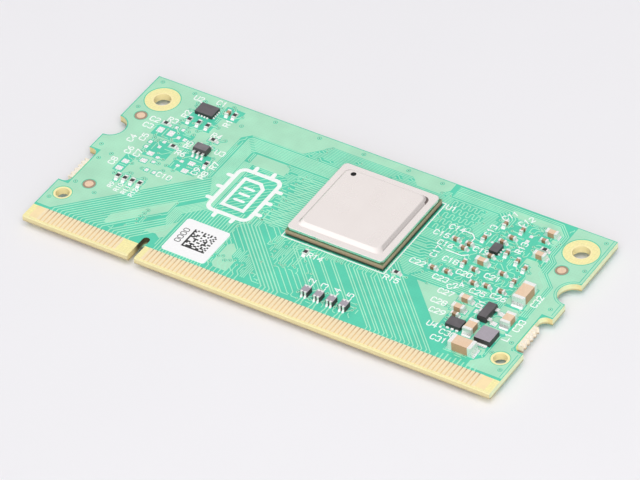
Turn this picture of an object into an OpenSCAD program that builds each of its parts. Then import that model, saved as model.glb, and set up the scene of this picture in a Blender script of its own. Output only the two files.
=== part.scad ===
// System on module: a processor board that plugs into an edge-card socket.
// It lies flat with the processor up and the contact edge towards -Y.
// The origin is the centre of the footprint, on the plane that the underside packages rest on.

/* [Board] */
// Length of the board along the contact edge
board_length = 67.6; // [66:0.1:76]
// Width of the board from the contact edge to the back edge
board_width = 31; // [29:0.1:38]
// Thickness of the bare laminate
board_thickness = 1; // [0.8:0.05:1.6]
// Thickness of the solder mask on each face
mask_thickness = 0.03; // [0.02:0.005:0.05]
// Gap between a solder land and the edge of its opening in the mask
mask_clearance = 0.05; // [0.02:0.01:0.08]
// Chamfer along the contact edge
edge_chamfer = 0.18; // [0.1:0.02:0.24]

/* [Holes and notches] */
// Diameter of the two mounting holes by the back edge
mount_hole_d = 2.3; // [1.8:0.1:2.8]
// Diameter of the bare ring round a mounting hole
mount_ring_d = 4.65; // [3.4:0.05:5.2]
// Distance from a mounting hole to the nearer end of the board
mount_hole_inset = 3; // [2.6:0.05:3.4]
// Distance from a mounting hole to the back edge
mount_hole_back = 3.75; // [3:0.05:4.2]
// Diameter of the two locating holes by the contact edge
locating_hole_d = 1.8; // [1.2:0.1:2]
// Diameter of the bare ring round a locating hole
locating_ring_d = 2.4; // [2.2:0.05:3]
// Distance from a locating hole to the nearer end of the board
locating_hole_inset = 2; // [1.8:0.05:2.4]
// Distance from a locating hole to the contact edge
locating_hole_front = 6; // [5:0.05:6.4]
// Radius of the latch notch in each end
latch_notch_r = 2; // [1.5:0.1:2.2]
// Distance from a latch notch to the contact edge
latch_notch_front = 20; // [18:0.1:20.4]

/* [Break-off tabs] */
// Depth of the routed recess that each tab stub stands in
tab_recess_depth = 1.45; // [1.2:0.05:1.8]
// Length of the routed recess
tab_recess_length = 7; // [6.4:0.1:7.6]
// Distance from the recess to the contact edge
tab_recess_front = 8; // [7.6:0.1:9]
// Radius of the cutter at the inner corners of the recess
tab_cutter_r = 0.95; // [0.5:0.05:1.1]
// Length of the stub left where the tab was snapped off
tab_stub_length = 3.9; // [3.4:0.1:4.4]
// Reach of the stub from the floor of the recess
tab_stub_reach = 0.75; // [0.5:0.05:1]
// Diameter of the perforations along the snapped edge
tab_perforation_d = 0.5; // [0.3:0.05:0.6]
// Distance between neighbouring perforations
tab_perforation_pitch = 0.78; // [0.7:0.02:0.86]

/* [Edge contacts] */
// Distance between neighbouring contacts
contact_pitch = 0.6; // [0.5:0.05:1]
// Width of a contact
contact_width = 0.42; // [0.3:0.01:0.45]
// Length of a contact
contact_length = 2.3; // [2:0.05:2.6]
// Distance from the contacts to the board's edge
contact_setback = 0.25; // [0.25:0.01:0.4]
// Thickness of a contact
contact_thickness = 0.04; // [0.02:0.005:0.06]
// Distance from the left end of the board to the middle of the first contact
contact_margin_left = 2.15; // [1.5:0.05:2.6]
// Distance from the middle of the last contact to the right end of the board
contact_margin_right = 2.45; // [1.5:0.05:2.9]
// Distance from the left end of the board to the middle of the key slot
key_place = 16.25; // [14:0.05:18]
// Width of the key slot
key_width = 1; // [0.8:0.05:1.2]
// Depth of the key slot
key_depth = 4; // [3.4:0.1:4.6]
// Free length on the left of the key slot's middle
key_free_left = 2.7; // [1.2:0.05:3]
// Free length on the right of the key slot's middle
key_free_right = 1.5; // [1.2:0.05:2]

/* [Processor] */
// Side of the square processor substrate
processor_size = 14.1; // [13:0.1:14.6]
// Thickness of the processor substrate
substrate_thickness = 0.6; // [0.4:0.05:0.8]
// Gap between the board and the processor substrate
processor_standoff = 0.32; // [0.25:0.01:0.4]
// Distance between neighbouring processor balls
processor_ball_pitch = 0.8; // [0.7:0.05:0.82]
// Distance from the lid's rim to the edge of the substrate
lid_inset = 0.1; // [0.05:0.05:0.4]
// Corner radius of the lid's rim
lid_corner_r = 0.6; // [0.4:0.05:1.2]
// Thickness of the metal sheet that the lid is pressed from
lid_sheet = 0.38; // [0.25:0.02:0.5]
// Width of the flat rim round the raised middle of the lid
lid_rim_width = 0.85; // [0.7:0.05:1.2]
// Rise of the middle of the lid above its rim
lid_rise = 0.5; // [0.3:0.05:0.7]
// Width of the slope between the rim and the raised middle
lid_slope_width = 0.55; // [0.4:0.05:0.8]
// Corner radius of the raised middle
lid_middle_r = 0.8; // [0.6:0.05:1.6]
// Thickness of the adhesive under the lid's rim
adhesive_thickness = 0.12; // [0.06:0.02:0.2]
// Side of the square silicon die
die_size = 7.4; // [5:0.2:8.6]

/* [Chips] */
// Length of the level shifter
shifter_length = 2.6; // [2.2:0.1:3]
// Width of the level shifter
shifter_width = 1.9; // [1.8:0.1:2.2]
// Height of the level shifter
shifter_height = 0.52; // [0.4:0.02:0.8]
// Length of the voltage monitor's body
monitor_length = 2; // [1.8:0.05:2.2]
// Width of the voltage monitor's body
monitor_width = 1.25; // [1.1:0.05:1.4]
// Height of the voltage monitor's body
monitor_height = 0.9; // [0.7:0.05:1.1]
// Length of the load switch
switch_length = 1.2; // [1:0.05:1.4]
// Width of the load switch
switch_width = 1.6; // [1.5:0.05:1.8]
// Height of the load switch
switch_height = 0.55; // [0.4:0.05:0.8]
// Length of the transistor's body
transistor_length = 1.3; // [1.1:0.05:1.5]
// Width of the transistor's body
transistor_width = 2.9; // [2.5:0.05:3]
// Height of the transistor's body
transistor_height = 0.95; // [0.8:0.05:1.1]
// Length of the regulator
regulator_length = 2.05; // [2:0.05:2.2]
// Width of the regulator
regulator_width = 1.5; // [1.3:0.05:1.6]
// Height of the regulator
regulator_height = 0.58; // [0.4:0.02:0.8]
// Thickness of a bent lead
lead_thickness = 0.13; // [0.1:0.01:0.16]
// Reach of a bent lead from the body
lead_reach = 0.58; // [0.4:0.02:0.64]

/* [Inductor and line filters] */
// Length of the power inductor
inductor_length = 2.2; // [1.8:0.05:2.4]
// Width of the power inductor
inductor_width = 2.4; // [1.8:0.05:2.6]
// Height of the power inductor
inductor_height = 0.88; // [0.8:0.02:1.2]
// Length of a line filter
filter_length = 1; // [0.9:0.05:1.1]
// Width of a line filter
filter_width = 1.25; // [1.1:0.05:1.4]
// Height of a line filter
filter_height = 0.84; // [0.6:0.02:1]

/* [Capacitors and resistors] */
// Length of a small capacitor
small_cap_length = 1; // [0.9:0.02:1.1]
// Width and height of a small capacitor
small_cap_width = 0.5; // [0.4:0.02:0.6]
// Length of a medium capacitor
medium_cap_length = 1.6; // [1.5:0.02:1.7]
// Width and height of a medium capacitor
medium_cap_width = 0.8; // [0.7:0.02:0.9]
// Length of a large capacitor
large_cap_length = 2; // [1.9:0.02:2.2]
// Width of a large capacitor
large_cap_width = 1.25; // [1.15:0.05:1.4]
// Height of a large capacitor
large_cap_height = 1; // [0.8:0.05:1.25]
// Length of a bulk capacitor
bulk_cap_length = 3.2; // [3:0.05:3.4]
// Width of a bulk capacitor
bulk_cap_width = 1.6; // [1.5:0.05:1.75]
// Height of a bulk capacitor
bulk_cap_height = 1.35; // [1:0.05:1.6]
// Length of a resistor
resistor_length = 1; // [0.9:0.02:1.1]
// Width of a resistor
resistor_width = 0.5; // [0.4:0.02:0.6]
// Height of a resistor
resistor_height = 0.36; // [0.28:0.02:0.45]
// Thickness of the metal on a capacitor or resistor end
end_metal = 0.03; // [0.02:0.005:0.04]

/* [Solder, lands and label] */
// Thickness of the solder under a part
solder_thickness = 0.05; // [0.05:0.005:0.08]
// Thickness of a bare tinned land
land_thickness = 0.05; // [0.03:0.005:0.08]
// Diameter of a copper alignment mark
fiducial_d = 1.1; // [0.8:0.05:1.4]
// Width of the bare gap round an alignment mark
fiducial_gap = 0.31; // [0.15:0.01:0.4]
// Side of the square label
label_size = 6.35; // [5:0.05:6.8]
// Thickness of the label
label_thickness = 0.08; // [0.05:0.01:0.15]
// Corner radius of the label
label_corner_r = 0.4; // [0.2:0.05:0.8]

/* [Underside] */
// Height of the packages that the module rests on
rest_height = 1; // [0.9:0.05:1.3]
// Gap between the board and the underside packages
package_standoff = 0.26; // [0.2:0.02:0.34]
// Length of the memory package
memory_length = 12; // [11:0.1:12.4]
// Width of the memory package
memory_width = 11.5; // [10.5:0.1:12]
// Length of the flash package
flash_length = 11.5; // [10.5:0.1:12.4]
// Width of the flash package
flash_width = 13; // [11:0.1:13.4]
// Distance between neighbouring balls of the underside packages
package_ball_pitch = 0.8; // [0.65:0.05:0.82]
// Length of the crystal
crystal_length = 3.2; // [2.5:0.1:3.4]
// Width of the crystal
crystal_width = 2.5; // [2.2:0.1:2.8]
// Height of the crystal
crystal_height = 0.7; // [0.5:0.05:0.8]

/* [Hidden] */
$fn = 48;

// The places below were read on a board of 67.6 by 31 mm, and they spread with the board.
spread = [board_length / 67.6, board_width / 31];

left = -board_length / 2;
right = board_length / 2;
front = -board_width / 2;
back = board_width / 2;
under_z = rest_height;
top_z = under_z + board_thickness;
mask_front = contact_setback + contact_length;

// Place of a point given in mm from the left end and from the contact edge
function place(p) = [p[0] * spread[0] + left, p[1] * spread[1] + front];

// Evenly spaced offsets about zero
function spaced(count, pitch) = [for (i = [0 : count - 1]) (i - (count - 1) / 2) * pitch];

// Number of contacts that fit in a length
function fitting(length) = floor(length / contact_pitch + 0.001) + 1;

contacts_left = fitting(key_place - key_free_left - contact_margin_left);
contacts_right = fitting(board_length - contact_margin_right - key_place - key_free_right);
contact_places = concat(
    [for (i = [0 : contacts_left - 1]) left + contact_margin_left + i * contact_pitch],
    [for (i = [0 : contacts_right - 1]) left + key_place + key_free_right + i * contact_pitch]
);

mount_holes = [for (s = [-1, 1]) [s * (right - mount_hole_inset), back - mount_hole_back]];
locating_holes = [
    for (s = [-1, 1]) [s * (right - locating_hole_inset), front + locating_hole_front]
];
fiducial_places = [[2.3, 23.3], [4, 9], [64.15, 23.2]];

processor_place = place([38, 19.65]);
substrate_z = processor_standoff;
lid_z = substrate_z + substrate_thickness + adhesive_thickness;
lid_size = processor_size - 2 * lid_inset;
lid_middle = lid_size - 2 * lid_rim_width;
lid_top = lid_z + lid_sheet + lid_rise;

memory_place = place([38, 18.9]);
flash_place = place([17.4, 17.6]);
crystal_place = [52.2, 20.6, 0];
label_place = place([21.82, 6.28]);

// Terminal rows are [direction they face, offsets along the side].
two_ends = [[0, [0]], [180, [0]]];
front_and_back = [[90, [0]], [270, [0]]];

// A kind of part is [places, size, terminal rows, solder pad].
// A place is [mm from the left end, mm from the contact edge, angle].
// A solder pad is [inner end, terminal face, toe, width, rise], from the side of the body outwards.
small_capacitors = [
    [
        [12.1, 28.7, 90], [53.95, 27.1, 90], [56.4, 27.1, 90], [52.95, 23.6, 90], [56.85, 22.5, 90],
        [58.75, 21.8, 90], [60.2, 21.05, 90], [53.1, 18.5, 90], [60.25, 18.3, 90], [56.9, 9.92, 0],
        [55.95, 25.25, 0], [55.3, 24.05, 0], [55.3, 21.05, 0], [50, 21.75, 0], [51.95, 21.75, 0],
        [51.65, 20.8, 0], [54.85, 18, 0], [58.3, 18.95, 0], [50.2, 15.9, 0], [52.1, 16.1, 0],
        [56, 15.8, 0], [57.7, 16.1, 0], [59.75, 16.1, 0], [59.7, 26.65, 0]
    ],
    [small_cap_length, small_cap_width, small_cap_width],
    two_ends,
    [-0.24, 0, 0.26, small_cap_width, 0.3]
];
medium_capacitors = [
    [
        [56.8, 12.8, 0], [56.8, 10.95, 0], [55, 19.6, 0], [60, 28.1, 0], [60.7, 23.9, 0]
    ],
    [medium_cap_length, medium_cap_width, medium_cap_width],
    two_ends,
    [-0.35, 0, 0.32, medium_cap_width, 0.45]
];
large_capacitors = [
    [[63.3, 11.85, 90], [59.97, 8.6, 90]],
    [large_cap_length, large_cap_width, large_cap_height],
    two_ends,
    [-0.42, 0, 0.36, large_cap_width, 0.5]
];
bulk_capacitors = [
    [[62.75, 16.65, 90], [60.85, 5.15, 0]],
    [bulk_cap_length, bulk_cap_width, bulk_cap_height],
    two_ends,
    [-0.5, 0, 0.4, bulk_cap_width, 0.6]
];
resistors = [
    [
        [8.4, 25.35, 90], [9.8, 25.35, 90], [11.15, 25.35, 90], [13.1, 28.7, 90], [15.1, 18.95, 90],
        [6.5, 11.85, 90], [7.55, 11.85, 90], [8.65, 11.85, 90], [9.75, 11.85, 90], [35, 10.85, 90],
        [6.2, 23.3, 0], [13.3, 23.35, 0], [9.5, 19.9, 0], [46.75, 13, 0], [60.6, 25.25, 0]
    ],
    [resistor_length, resistor_width, resistor_height],
    two_ends,
    [-0.24, 0, 0.26, resistor_width, 0.2]
];
line_filters = [
    [for (i = [0 : 3]) [39 + 1.82 * i, 4.6, 0]],
    [filter_length, filter_width, filter_height],
    [[90, spaced(2, 0.52)], [270, spaced(2, 0.52)]],
    [-0.22, 0, 0.24, 0.28, 0.3]
];
inductors = [
    [[62.45, 8.15, 0]],
    [inductor_length, inductor_width, inductor_height],
    front_and_back,
    [-0.45, 0, 0.32, 1.5, 0.1]
];
level_shifters = [
    [[9.5, 27.8, 0]],
    [shifter_length, shifter_width, shifter_height],
    [for (a = [0 : 90 : 270]) [a, spaced(4, 0.42)]],
    [-0.3, 0, 0.2, 0.22, 0.12]
];
load_switches = [
    [[55.3, 22.5, 0]],
    [switch_length, switch_width, switch_height],
    [[0, spaced(3, 0.5)], [180, spaced(3, 0.5)]],
    [-0.25, 0, 0.22, 0.24, 0.12]
];
regulators = [
    [[57.9, 8.45, 0]],
    [regulator_length, regulator_width, regulator_height],
    [[90, spaced(3, 0.65)], [270, spaced(3, 0.65)]],
    [-0.3, 0, 0.2, 0.38, 0.12]
];
voltage_monitors = [
    [[13.2, 20.9, 0]],
    [monitor_length, monitor_width, monitor_height],
    [[270, spaced(3, 0.66)], [90, spaced(2, 1.32)]],
    [lead_reach - 0.24, lead_reach, 0.22, 0.34, 0.1]
];
transistors = [
    [[60.4, 11.8, 0]],
    [transistor_length, transistor_width, transistor_height],
    [[0, spaced(2, 1.9)], [180, [0]]],
    [lead_reach - 0.26, lead_reach, 0.6, 0.7, 0.12]
];
crystals = [
    [crystal_place],
    [crystal_length, crystal_width, crystal_height],
    [[0, spaced(2, 1.5)], [180, spaced(2, 1.5)]],
    [-0.5, 0, 0.2, 0.8, 0.15]
];
under_capacitors = [
    concat(
        [for (i = [0 : 5]) [33 + 2 * i, 10.3, 90]],
        [for (i = [0 : 4]) [46.6, 14.4 + 2.2 * i, 0]],
        [for (i = [0 : 4]) [27.4, 13.2 + 2.2 * i, 0]],
        [for (i = [0 : 3]) [57.4, 14.4 + 2 * i, 0]]
    ),
    [small_cap_length, small_cap_width, small_cap_width],
    two_ends,
    [-0.24, 0, 0.26, small_cap_width, 0.3]
];
under_resistors = [
    concat(
        [for (i = [0 : 4]) [50 + 1.2 * i, 11.4, 90]],
        [for (i = [0 : 2]) [8, 15.4 + 2 * i, 0]]
    ),
    [resistor_length, resistor_width, resistor_height],
    two_ends,
    [-0.24, 0, 0.26, resistor_width, 0.2]
];
top_kinds = [
    small_capacitors, medium_capacitors, large_capacitors, bulk_capacitors, resistors, line_filters,
    inductors, level_shifters, load_switches, regulators, voltage_monitors, transistors
];
under_kinds = [crystals, under_capacitors, under_resistors];

// Bare lands are [mm from the left end, mm from the contact edge, length, width].
land_places = [
    [6.1, 22.1, 0.85, 1], [7.7, 22.1, 0.85, 1], [9, 21.85, 0.5, 0.55], [9.95, 21.85, 0.5, 0.55],
    [7.7, 23.4, 0.45, 0.5], [8.7, 23.4, 0.45, 0.5], [7.9, 20.3, 0.45, 0.5], [7.85, 19.2, 0.45, 0.5],
    [6.3, 19.5, 0.5, 0.5], [6.3, 18.5, 0.5, 0.5], [8.8, 17.35, 0.5, 0.45], [8.8, 16.4, 0.5, 0.45],
    [8.9, 14.7, 0.5, 0.55], [10, 14.7, 0.5, 0.55], [11.9, 18.2, 0.5, 0.45], [11.9, 17.25, 0.5, 0.45],
    [7.55, 17.6, 0.9, 0.75], [7.55, 16.05, 0.9, 0.75], [5.6, 14.85, 0.9, 0.75],
    [5.6, 13.4, 0.9, 0.75], [13.25, 18.4, 0.9, 0.75], [13.25, 16.8, 0.9, 0.75],
    [57.8, 26.8, 0.5, 0.5], [57.8, 25.8, 0.5, 0.5]
];

laminate_colour = [0.93, 0.85, 0.56];
mask_colour = [0.42, 0.82, 0.68];
gold_colour = [0.95, 0.8, 0.58];
copper_colour = [0.95, 0.78, 0.64];
tin_colour = [0.86, 0.87, 0.86];
chip_colour = [0.24, 0.22, 0.24];
ceramic_colour = [0.78, 0.62, 0.47];
alumina_colour = [0.93, 0.92, 0.9];
lid_colour = [0.9, 0.88, 0.87];
substrate_colour = [0.58, 0.47, 0.42];

module on_top() {
    translate([0, 0, top_z])
        children();
}

module underneath() {
    translate([0, 0, under_z])
        mirror([0, 0, 1])
            children();
}

module at_each(places) {
    for (p = places)
        translate(place(p))
            rotate(p[2])
                children();
}

// Stands at the side of a body for each terminal, with x pointing away from the body
module at_terminals(size, rows) {
    for (row = rows, v = row[1])
        rotate(row[0])
            translate([(row[0] % 180 == 0 ? size[0] : size[1]) / 2, v])
                children();
}

module block(size, z) {
    translate([-size[0] / 2, -size[1] / 2, z])
        cube(size);
}

module rounded_square(length, width, r) {
    square([length - 2 * r, width], center = true);
    square([length, width - 2 * r], center = true);
    for (x = [-1, 1], y = [-1, 1])
        translate([x * (length / 2 - r), y * (width / 2 - r)])
            circle(r);
}

// Draws a side view, x outwards and y up, across a width
module across(width) {
    rotate([90, 0, 0])
        linear_extrude(width, center = true)
            children();
}

// Solder under a terminal and in a hollow slope up its end
module solder_joint(pad) {
    inner = pad[0];
    face = pad[1];
    toe = face + pad[2];
    rise = solder_thickness + pad[4];
    across(pad[3])
        polygon([
            [inner, 0],
            [toe, 0],
            [toe, solder_thickness],
            [face + 0.45 * pad[2], solder_thickness + 0.3 * pad[4]],
            [face, rise],
            [face, solder_thickness],
            [inner, solder_thickness]
        ]);
}

module joints_of(kinds) {
    for (kind = kinds)
        at_each(kind[0])
            at_terminals(kind[1], kind[2])
                solder_joint(kind[3]);
}

// Mask openings round the solder joints of some kinds of part
module openings_of(kinds) {
    for (kind = kinds)
        at_each(kind[0])
            at_terminals(kind[1], kind[2])
                land_opening(kind[3]);
}

module land_opening(pad) {
    length = pad[1] + pad[2] - pad[0] + 2 * mask_clearance;
    width = pad[3] + 2 * mask_clearance;
    translate([pad[0] - mask_clearance, -width / 2])
        square([length, width]);
}

// Ceramic of a capacitor or resistor, inside its end metal
module ceramic(size) {
    inner = [size[0] - 2 * end_metal, size[1] - 2 * end_metal, size[2] - 2 * end_metal];
    block(inner, solder_thickness + end_metal);
}

// Two five-sided metal caps over the ends of a capacitor
module end_caps(size, band) {
    for (a = [0, 180])
        rotate(a)
            difference() {
                translate([size[0] / 2 - band, -size[1] / 2, solder_thickness])
                    cube([band, size[1], size[2]]);
                ceramic(size);
            }
}

// Metal that wraps from the top over the end to the underside
module wrap_terminal(band, width, height) {
    low = solder_thickness;
    high = solder_thickness + height;
    across(width)
        polygon([
            [-band, low],
            [0, low],
            [0, high],
            [-band, high],
            [-band, high - end_metal],
            [-end_metal, high - end_metal],
            [-end_metal, low + end_metal],
            [-band, low + end_metal]
        ]);
}

module resistor_ceramic(size) {
    inner = [size[0] - 2 * end_metal, size[1], size[2] - 2 * end_metal];
    block(inner, solder_thickness + end_metal);
}

module resistor_ends(size) {
    at_terminals(size, two_ends)
        wrap_terminal(0.24, size[1], size[2]);
}

module resistor_overcoat(size) {
    block([size[0] - 0.48, size[1], end_metal], solder_thickness + size[2] - end_metal);
}

// Side view of a moulded body: sloping walls that meet in an upright band where the leads leave
module moulded_section(width, height) {
    band_low = height * 0.42;
    band_high = band_low + lead_thickness;
    slope = 0.07;
    half = width / 2;
    polygon([
        [-half + slope, 0],
        [half - slope, 0],
        [half, band_low],
        [half, band_high],
        [half - slope, height],
        [-half + slope, height],
        [-half, band_high],
        [-half, band_low]
    ]);
}

module moulded_body(size) {
    translate([0, 0, 2 * solder_thickness])
        intersection() {
            across(size[1])
                moulded_section(size[0], size[2]);
            rotate(90)
                across(size[0])
                    moulded_section(size[1], size[2]);
        }
}

// Lead that leaves the body level, drops, and ends in a flat foot
module bent_lead(height, width) {
    exit = 2 * solder_thickness + height * 0.42;
    low = solder_thickness;
    drop = lead_reach - 0.24;
    across(width)
        polygon([
            [0, exit],
            [drop - 0.06, exit],
            [drop, exit - 0.06],
            [drop, low],
            [lead_reach, low],
            [lead_reach, low + lead_thickness],
            [drop + lead_thickness, low + lead_thickness],
            [drop + lead_thickness, exit + lead_thickness - 0.06],
            [drop + lead_thickness - 0.06, exit + lead_thickness],
            [0, exit + lead_thickness]
        ]);
}

// Solder balls in an outer band of rows and an inner square
module ball_grid(count_x, count_y, rows, inner, pitch, height) {
    for (i = [0 : count_x - 1], j = [0 : count_y - 1]) {
        edge = min(i, j, count_x - 1 - i, count_y - 1 - j);
        core = max(abs(i - (count_x - 1) / 2), abs(j - (count_y - 1) / 2));
        if (edge < rows || core < inner / 2)
            translate([(i - (count_x - 1) / 2) * pitch, (j - (count_y - 1) / 2) * pitch, height / 2])
                ball(height);
    }
}

// Ball pressed flat where it meets the board and the package
module ball(height) {
    intersection() {
        sphere(d = height * 1.35);
        cube([2 * height, 2 * height, height], center = true);
    }
}

module key_slot() {
    straight = key_depth - key_width / 2;
    translate([left + key_place, front]) {
        translate([-key_width / 2, -1])
            square([key_width, straight + 1]);
        translate([0, straight])
            circle(d = key_width);
    }
}

// Routed recess in the right-hand end, with rounded inner corners
module tab_recess() {
    r = tab_cutter_r;
    translate([right - tab_recess_depth, front + tab_recess_front]) {
        translate([r, 0])
            square([tab_recess_depth - r + 1, tab_recess_length]);
        translate([0, r])
            square([tab_recess_depth + 1, tab_recess_length - 2 * r]);
        for (y = [r, tab_recess_length - r])
            translate([r, y])
                circle(r);
    }
}

// Stub of the snapped tab, with half perforations along its broken edge
module tab_stub() {
    count = floor(tab_stub_length / tab_perforation_pitch);
    translate([right - tab_recess_depth, front + tab_recess_front + tab_recess_length / 2 - 0.45])
        difference() {
            translate([-0.1, -tab_stub_length / 2])
                square([tab_stub_reach + 0.1, tab_stub_length]);
            for (y = spaced(count, tab_perforation_pitch))
                translate([tab_stub_reach, y])
                    circle(d = tab_perforation_d);
        }
}

module at_both_ends() {
    children();
    mirror([1, 0])
        children();
}

// Outline of the board without its holes and without the tab stubs
module board_outline() {
    difference() {
        square([board_length, board_width], center = true);
        key_slot();
        at_both_ends() {
            translate([right, front + latch_notch_front])
                circle(latch_notch_r);
            tab_recess();
        }
    }
}

module drilled(places, d) {
    for (p = places)
        translate(p)
            circle(d = d);
}

// Section along the length, chamfered at the contact edge
module board_section() {
    c = edge_chamfer;
    polygon([
        [front + c, 0],
        [back, 0],
        [back, board_thickness],
        [front + c, board_thickness],
        [front, board_thickness - c],
        [front, c]
    ]);
}

module board() {
    color(laminate_colour)
        translate([0, 0, under_z])
            intersection() {
                linear_extrude(board_thickness)
                    difference() {
                        union() {
                            board_outline();
                            at_both_ends()
                                tab_stub();
                        }
                        drilled(mount_holes, mount_hole_d);
                        drilled(locating_holes, locating_hole_d);
                    }
                rotate([90, 0, 90])
                    linear_extrude(board_length + 2, center = true)
                        board_section();
            }
}

// Mask of one face, with the contact strip, the hole rings and its other openings left bare
module mask_sheet() {
    color(mask_colour)
        linear_extrude(mask_thickness)
            difference() {
                board_outline();
                translate([-board_length, front - 1])
                    square([2 * board_length, mask_front + 1]);
                drilled(mount_holes, mount_ring_d);
                drilled(locating_holes, locating_ring_d);
                children();
            }
}

module solder_mask_top() {
    on_top()
        mask_sheet() {
            openings_of(top_kinds);
            drilled([for (p = fiducial_places) place(p)], fiducial_d + 2 * fiducial_gap);
            for (p = land_places)
                translate(place(p))
                    square([p[2] + 2 * mask_clearance, p[3] + 2 * mask_clearance], center = true);
            translate(processor_place)
                square(processor_size - 1, center = true);
        }
}

module solder_mask_bottom() {
    underneath()
        mask_sheet() {
            openings_of(under_kinds);
            translate(memory_place)
                square([memory_length - 1, memory_width - 1], center = true);
            translate(flash_place)
                square([flash_length - 1, flash_width - 1], center = true);
        }
}

module contact_row() {
    color(gold_colour)
        for (x = contact_places)
            translate([x - contact_width / 2, front + contact_setback, 0])
                cube([contact_width, contact_length, contact_thickness]);
}

module contacts_top() {
    on_top()
        contact_row();
}

module contacts_bottom() {
    underneath()
        contact_row();
}

module fiducials() {
    color(copper_colour)
        on_top()
            for (p = fiducial_places)
                translate(place(p))
                    cylinder(d = fiducial_d, h = contact_thickness);
}

module bare_lands() {
    color(tin_colour)
        on_top()
            for (p = land_places)
                translate(place(p))
                    block([p[2], p[3], land_thickness], 0);
}

module processor_at(z) {
    translate([processor_place[0], processor_place[1], top_z + z])
        children();
}

module processor_balls() {
    count = floor((processor_size - 1.4) / processor_ball_pitch) + 1;
    color(tin_colour)
        processor_at(0)
            ball_grid(count, count, 3, 6, processor_ball_pitch, processor_standoff);
}

module processor_substrate() {
    color(substrate_colour)
        processor_at(substrate_z)
            block([processor_size, processor_size, substrate_thickness], 0);
}

module processor_die() {
    z = substrate_z + substrate_thickness;
    color(chip_colour)
        processor_at(z)
            block([die_size, die_size, lid_top - lid_sheet - z], 0);
}

module lid_adhesive() {
    side = lid_size - 0.4;
    hole = side - 1.1;
    color(chip_colour)
        processor_at(substrate_z + substrate_thickness)
            linear_extrude(adhesive_thickness)
                difference() {
                    rounded_square(side, side, lid_corner_r);
                    rounded_square(hole, hole, lid_corner_r);
                }
}

// Corner points of a rounded square at a height
function ring(side, r, z) = [
    for (q = [0 : 3], i = [0 : 6])
        let (
            a = 90 * q + 15 * i,
            cx = (q == 0 || q == 3 ? 1 : -1) * (side / 2 - r),
            cy = (q < 2 ? 1 : -1) * (side / 2 - r)
        )
        [cx + r * cos(a), cy + r * sin(a), z]
];

// Slope from the rim up to the raised middle, from 0 to 1: straight, with a bend at each end
function eased(t) =
    let(bend = 0.25, pitch = 1 / (1 - bend))
    t < bend ? pitch * t * t / (2 * bend)
    : t > 1 - bend ? 1 - pitch * (1 - t) * (1 - t) / (2 * bend)
    : pitch * (t - bend / 2);

// Pressed lid: rings from the ceiling of its hollow, down under the rim, over its edge and up to the top
module processor_lid() {
    steps = 10;
    edge = 0.06;
    rim = lid_z + lid_sheet;
    top_side = lid_middle - 2 * lid_slope_width;
    hollow = lid_middle - 2 * lid_sheet;
    rings = concat(
        [
            ring(top_side - lid_sheet, lid_middle_r * 0.8, lid_top - lid_sheet),
            ring(hollow, lid_middle_r, lid_z + 0.05),
            ring(hollow + 0.1, lid_middle_r, lid_z),
            ring(lid_size, lid_corner_r, lid_z),
            ring(lid_size, lid_corner_r, rim - edge),
            ring(lid_size - 0.6 * edge, lid_corner_r, rim - 0.3 * edge),
            ring(lid_size - 2 * edge, lid_corner_r, rim)
        ],
        [
            for (i = [0 : steps])
                ring(
                    lid_middle - 2 * lid_slope_width * i / steps,
                    lid_middle_r,
                    rim + lid_rise * eased(i / steps)
                )
        ]
    );
    n = len(rings[0]);
    last = len(rings) - 1;
    points = [for (r = rings, p = r) p];
    walls = [
        for (k = [0 : last - 1], i = [0 : n - 1])
            let (j = (i + 1) % n)
            [k * n + i, (k + 1) * n + i, (k + 1) * n + j, k * n + j]
    ];
    ceiling = [for (i = [0 : n - 1]) i];
    crown = [for (i = [n - 1 : -1 : 0]) last * n + i];
    color(lid_colour)
        processor_at(0)
            polyhedron(points, concat([ceiling], walls, [crown]), convexity = 4);
}

module flat_chip(kind) {
    on_top()
        at_each(kind[0])
            block(kind[1], solder_thickness);
}

module level_shifter() {
    color(chip_colour)
        flat_chip(level_shifters);
}

module load_switch() {
    color(chip_colour)
        flat_chip(load_switches);
}

module regulator() {
    color(chip_colour)
        flat_chip(regulators);
}

module gull_body(kind) {
    color(chip_colour)
        on_top()
            at_each(kind[0])
                moulded_body(kind[1]);
}

module gull_leads(kind, width) {
    color(tin_colour)
        on_top()
            at_each(kind[0])
                at_terminals(kind[1], kind[2])
                    bent_lead(kind[1][2], width);
}

module voltage_monitor_body() {
    gull_body(voltage_monitors);
}

module voltage_monitor_leads() {
    gull_leads(voltage_monitors, 0.3);
}

module transistor_body() {
    gull_body(transistors);
}

module transistor_leads() {
    gull_leads(transistors, 0.52);
}

module inductor_body() {
    size = part_inside(inductors[1]);
    color([0.5, 0.48, 0.5])
        on_top()
            at_each(inductors[0])
                block(size, solder_thickness + end_metal);
}

// Body of a part whose metal wraps over its front and back
function part_inside(size) = [size[0], size[1] - 2 * end_metal, size[2] - end_metal];

module inductor_terminals() {
    color(tin_colour)
        on_top()
            at_each(inductors[0])
                at_terminals(inductors[1], inductors[2])
                    foot_terminal(0.45, 1.5, 0.18);
}

// Metal under the body and part of the way up its side
module foot_terminal(band, width, height) {
    low = solder_thickness;
    across(width)
        polygon([
            [-band, low],
            [0, low],
            [0, low + height],
            [-end_metal, low + height],
            [-end_metal, low + end_metal],
            [-band, low + end_metal]
        ]);
}

module line_filter_bodies() {
    size = part_inside(line_filters[1]);
    color([0.36, 0.35, 0.36])
        on_top()
            at_each(line_filters[0])
                block([size[0], size[1], size[2] - end_metal], solder_thickness + end_metal);
}

module line_filter_terminals() {
    color(tin_colour)
        on_top()
            at_each(line_filters[0])
                at_terminals(line_filters[1], line_filters[2])
                    wrap_terminal(0.22, 0.28, filter_height);
}

module capacitor_bodies(kind) {
    color(ceramic_colour)
        at_each(kind[0])
            ceramic(kind[1]);
}

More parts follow.
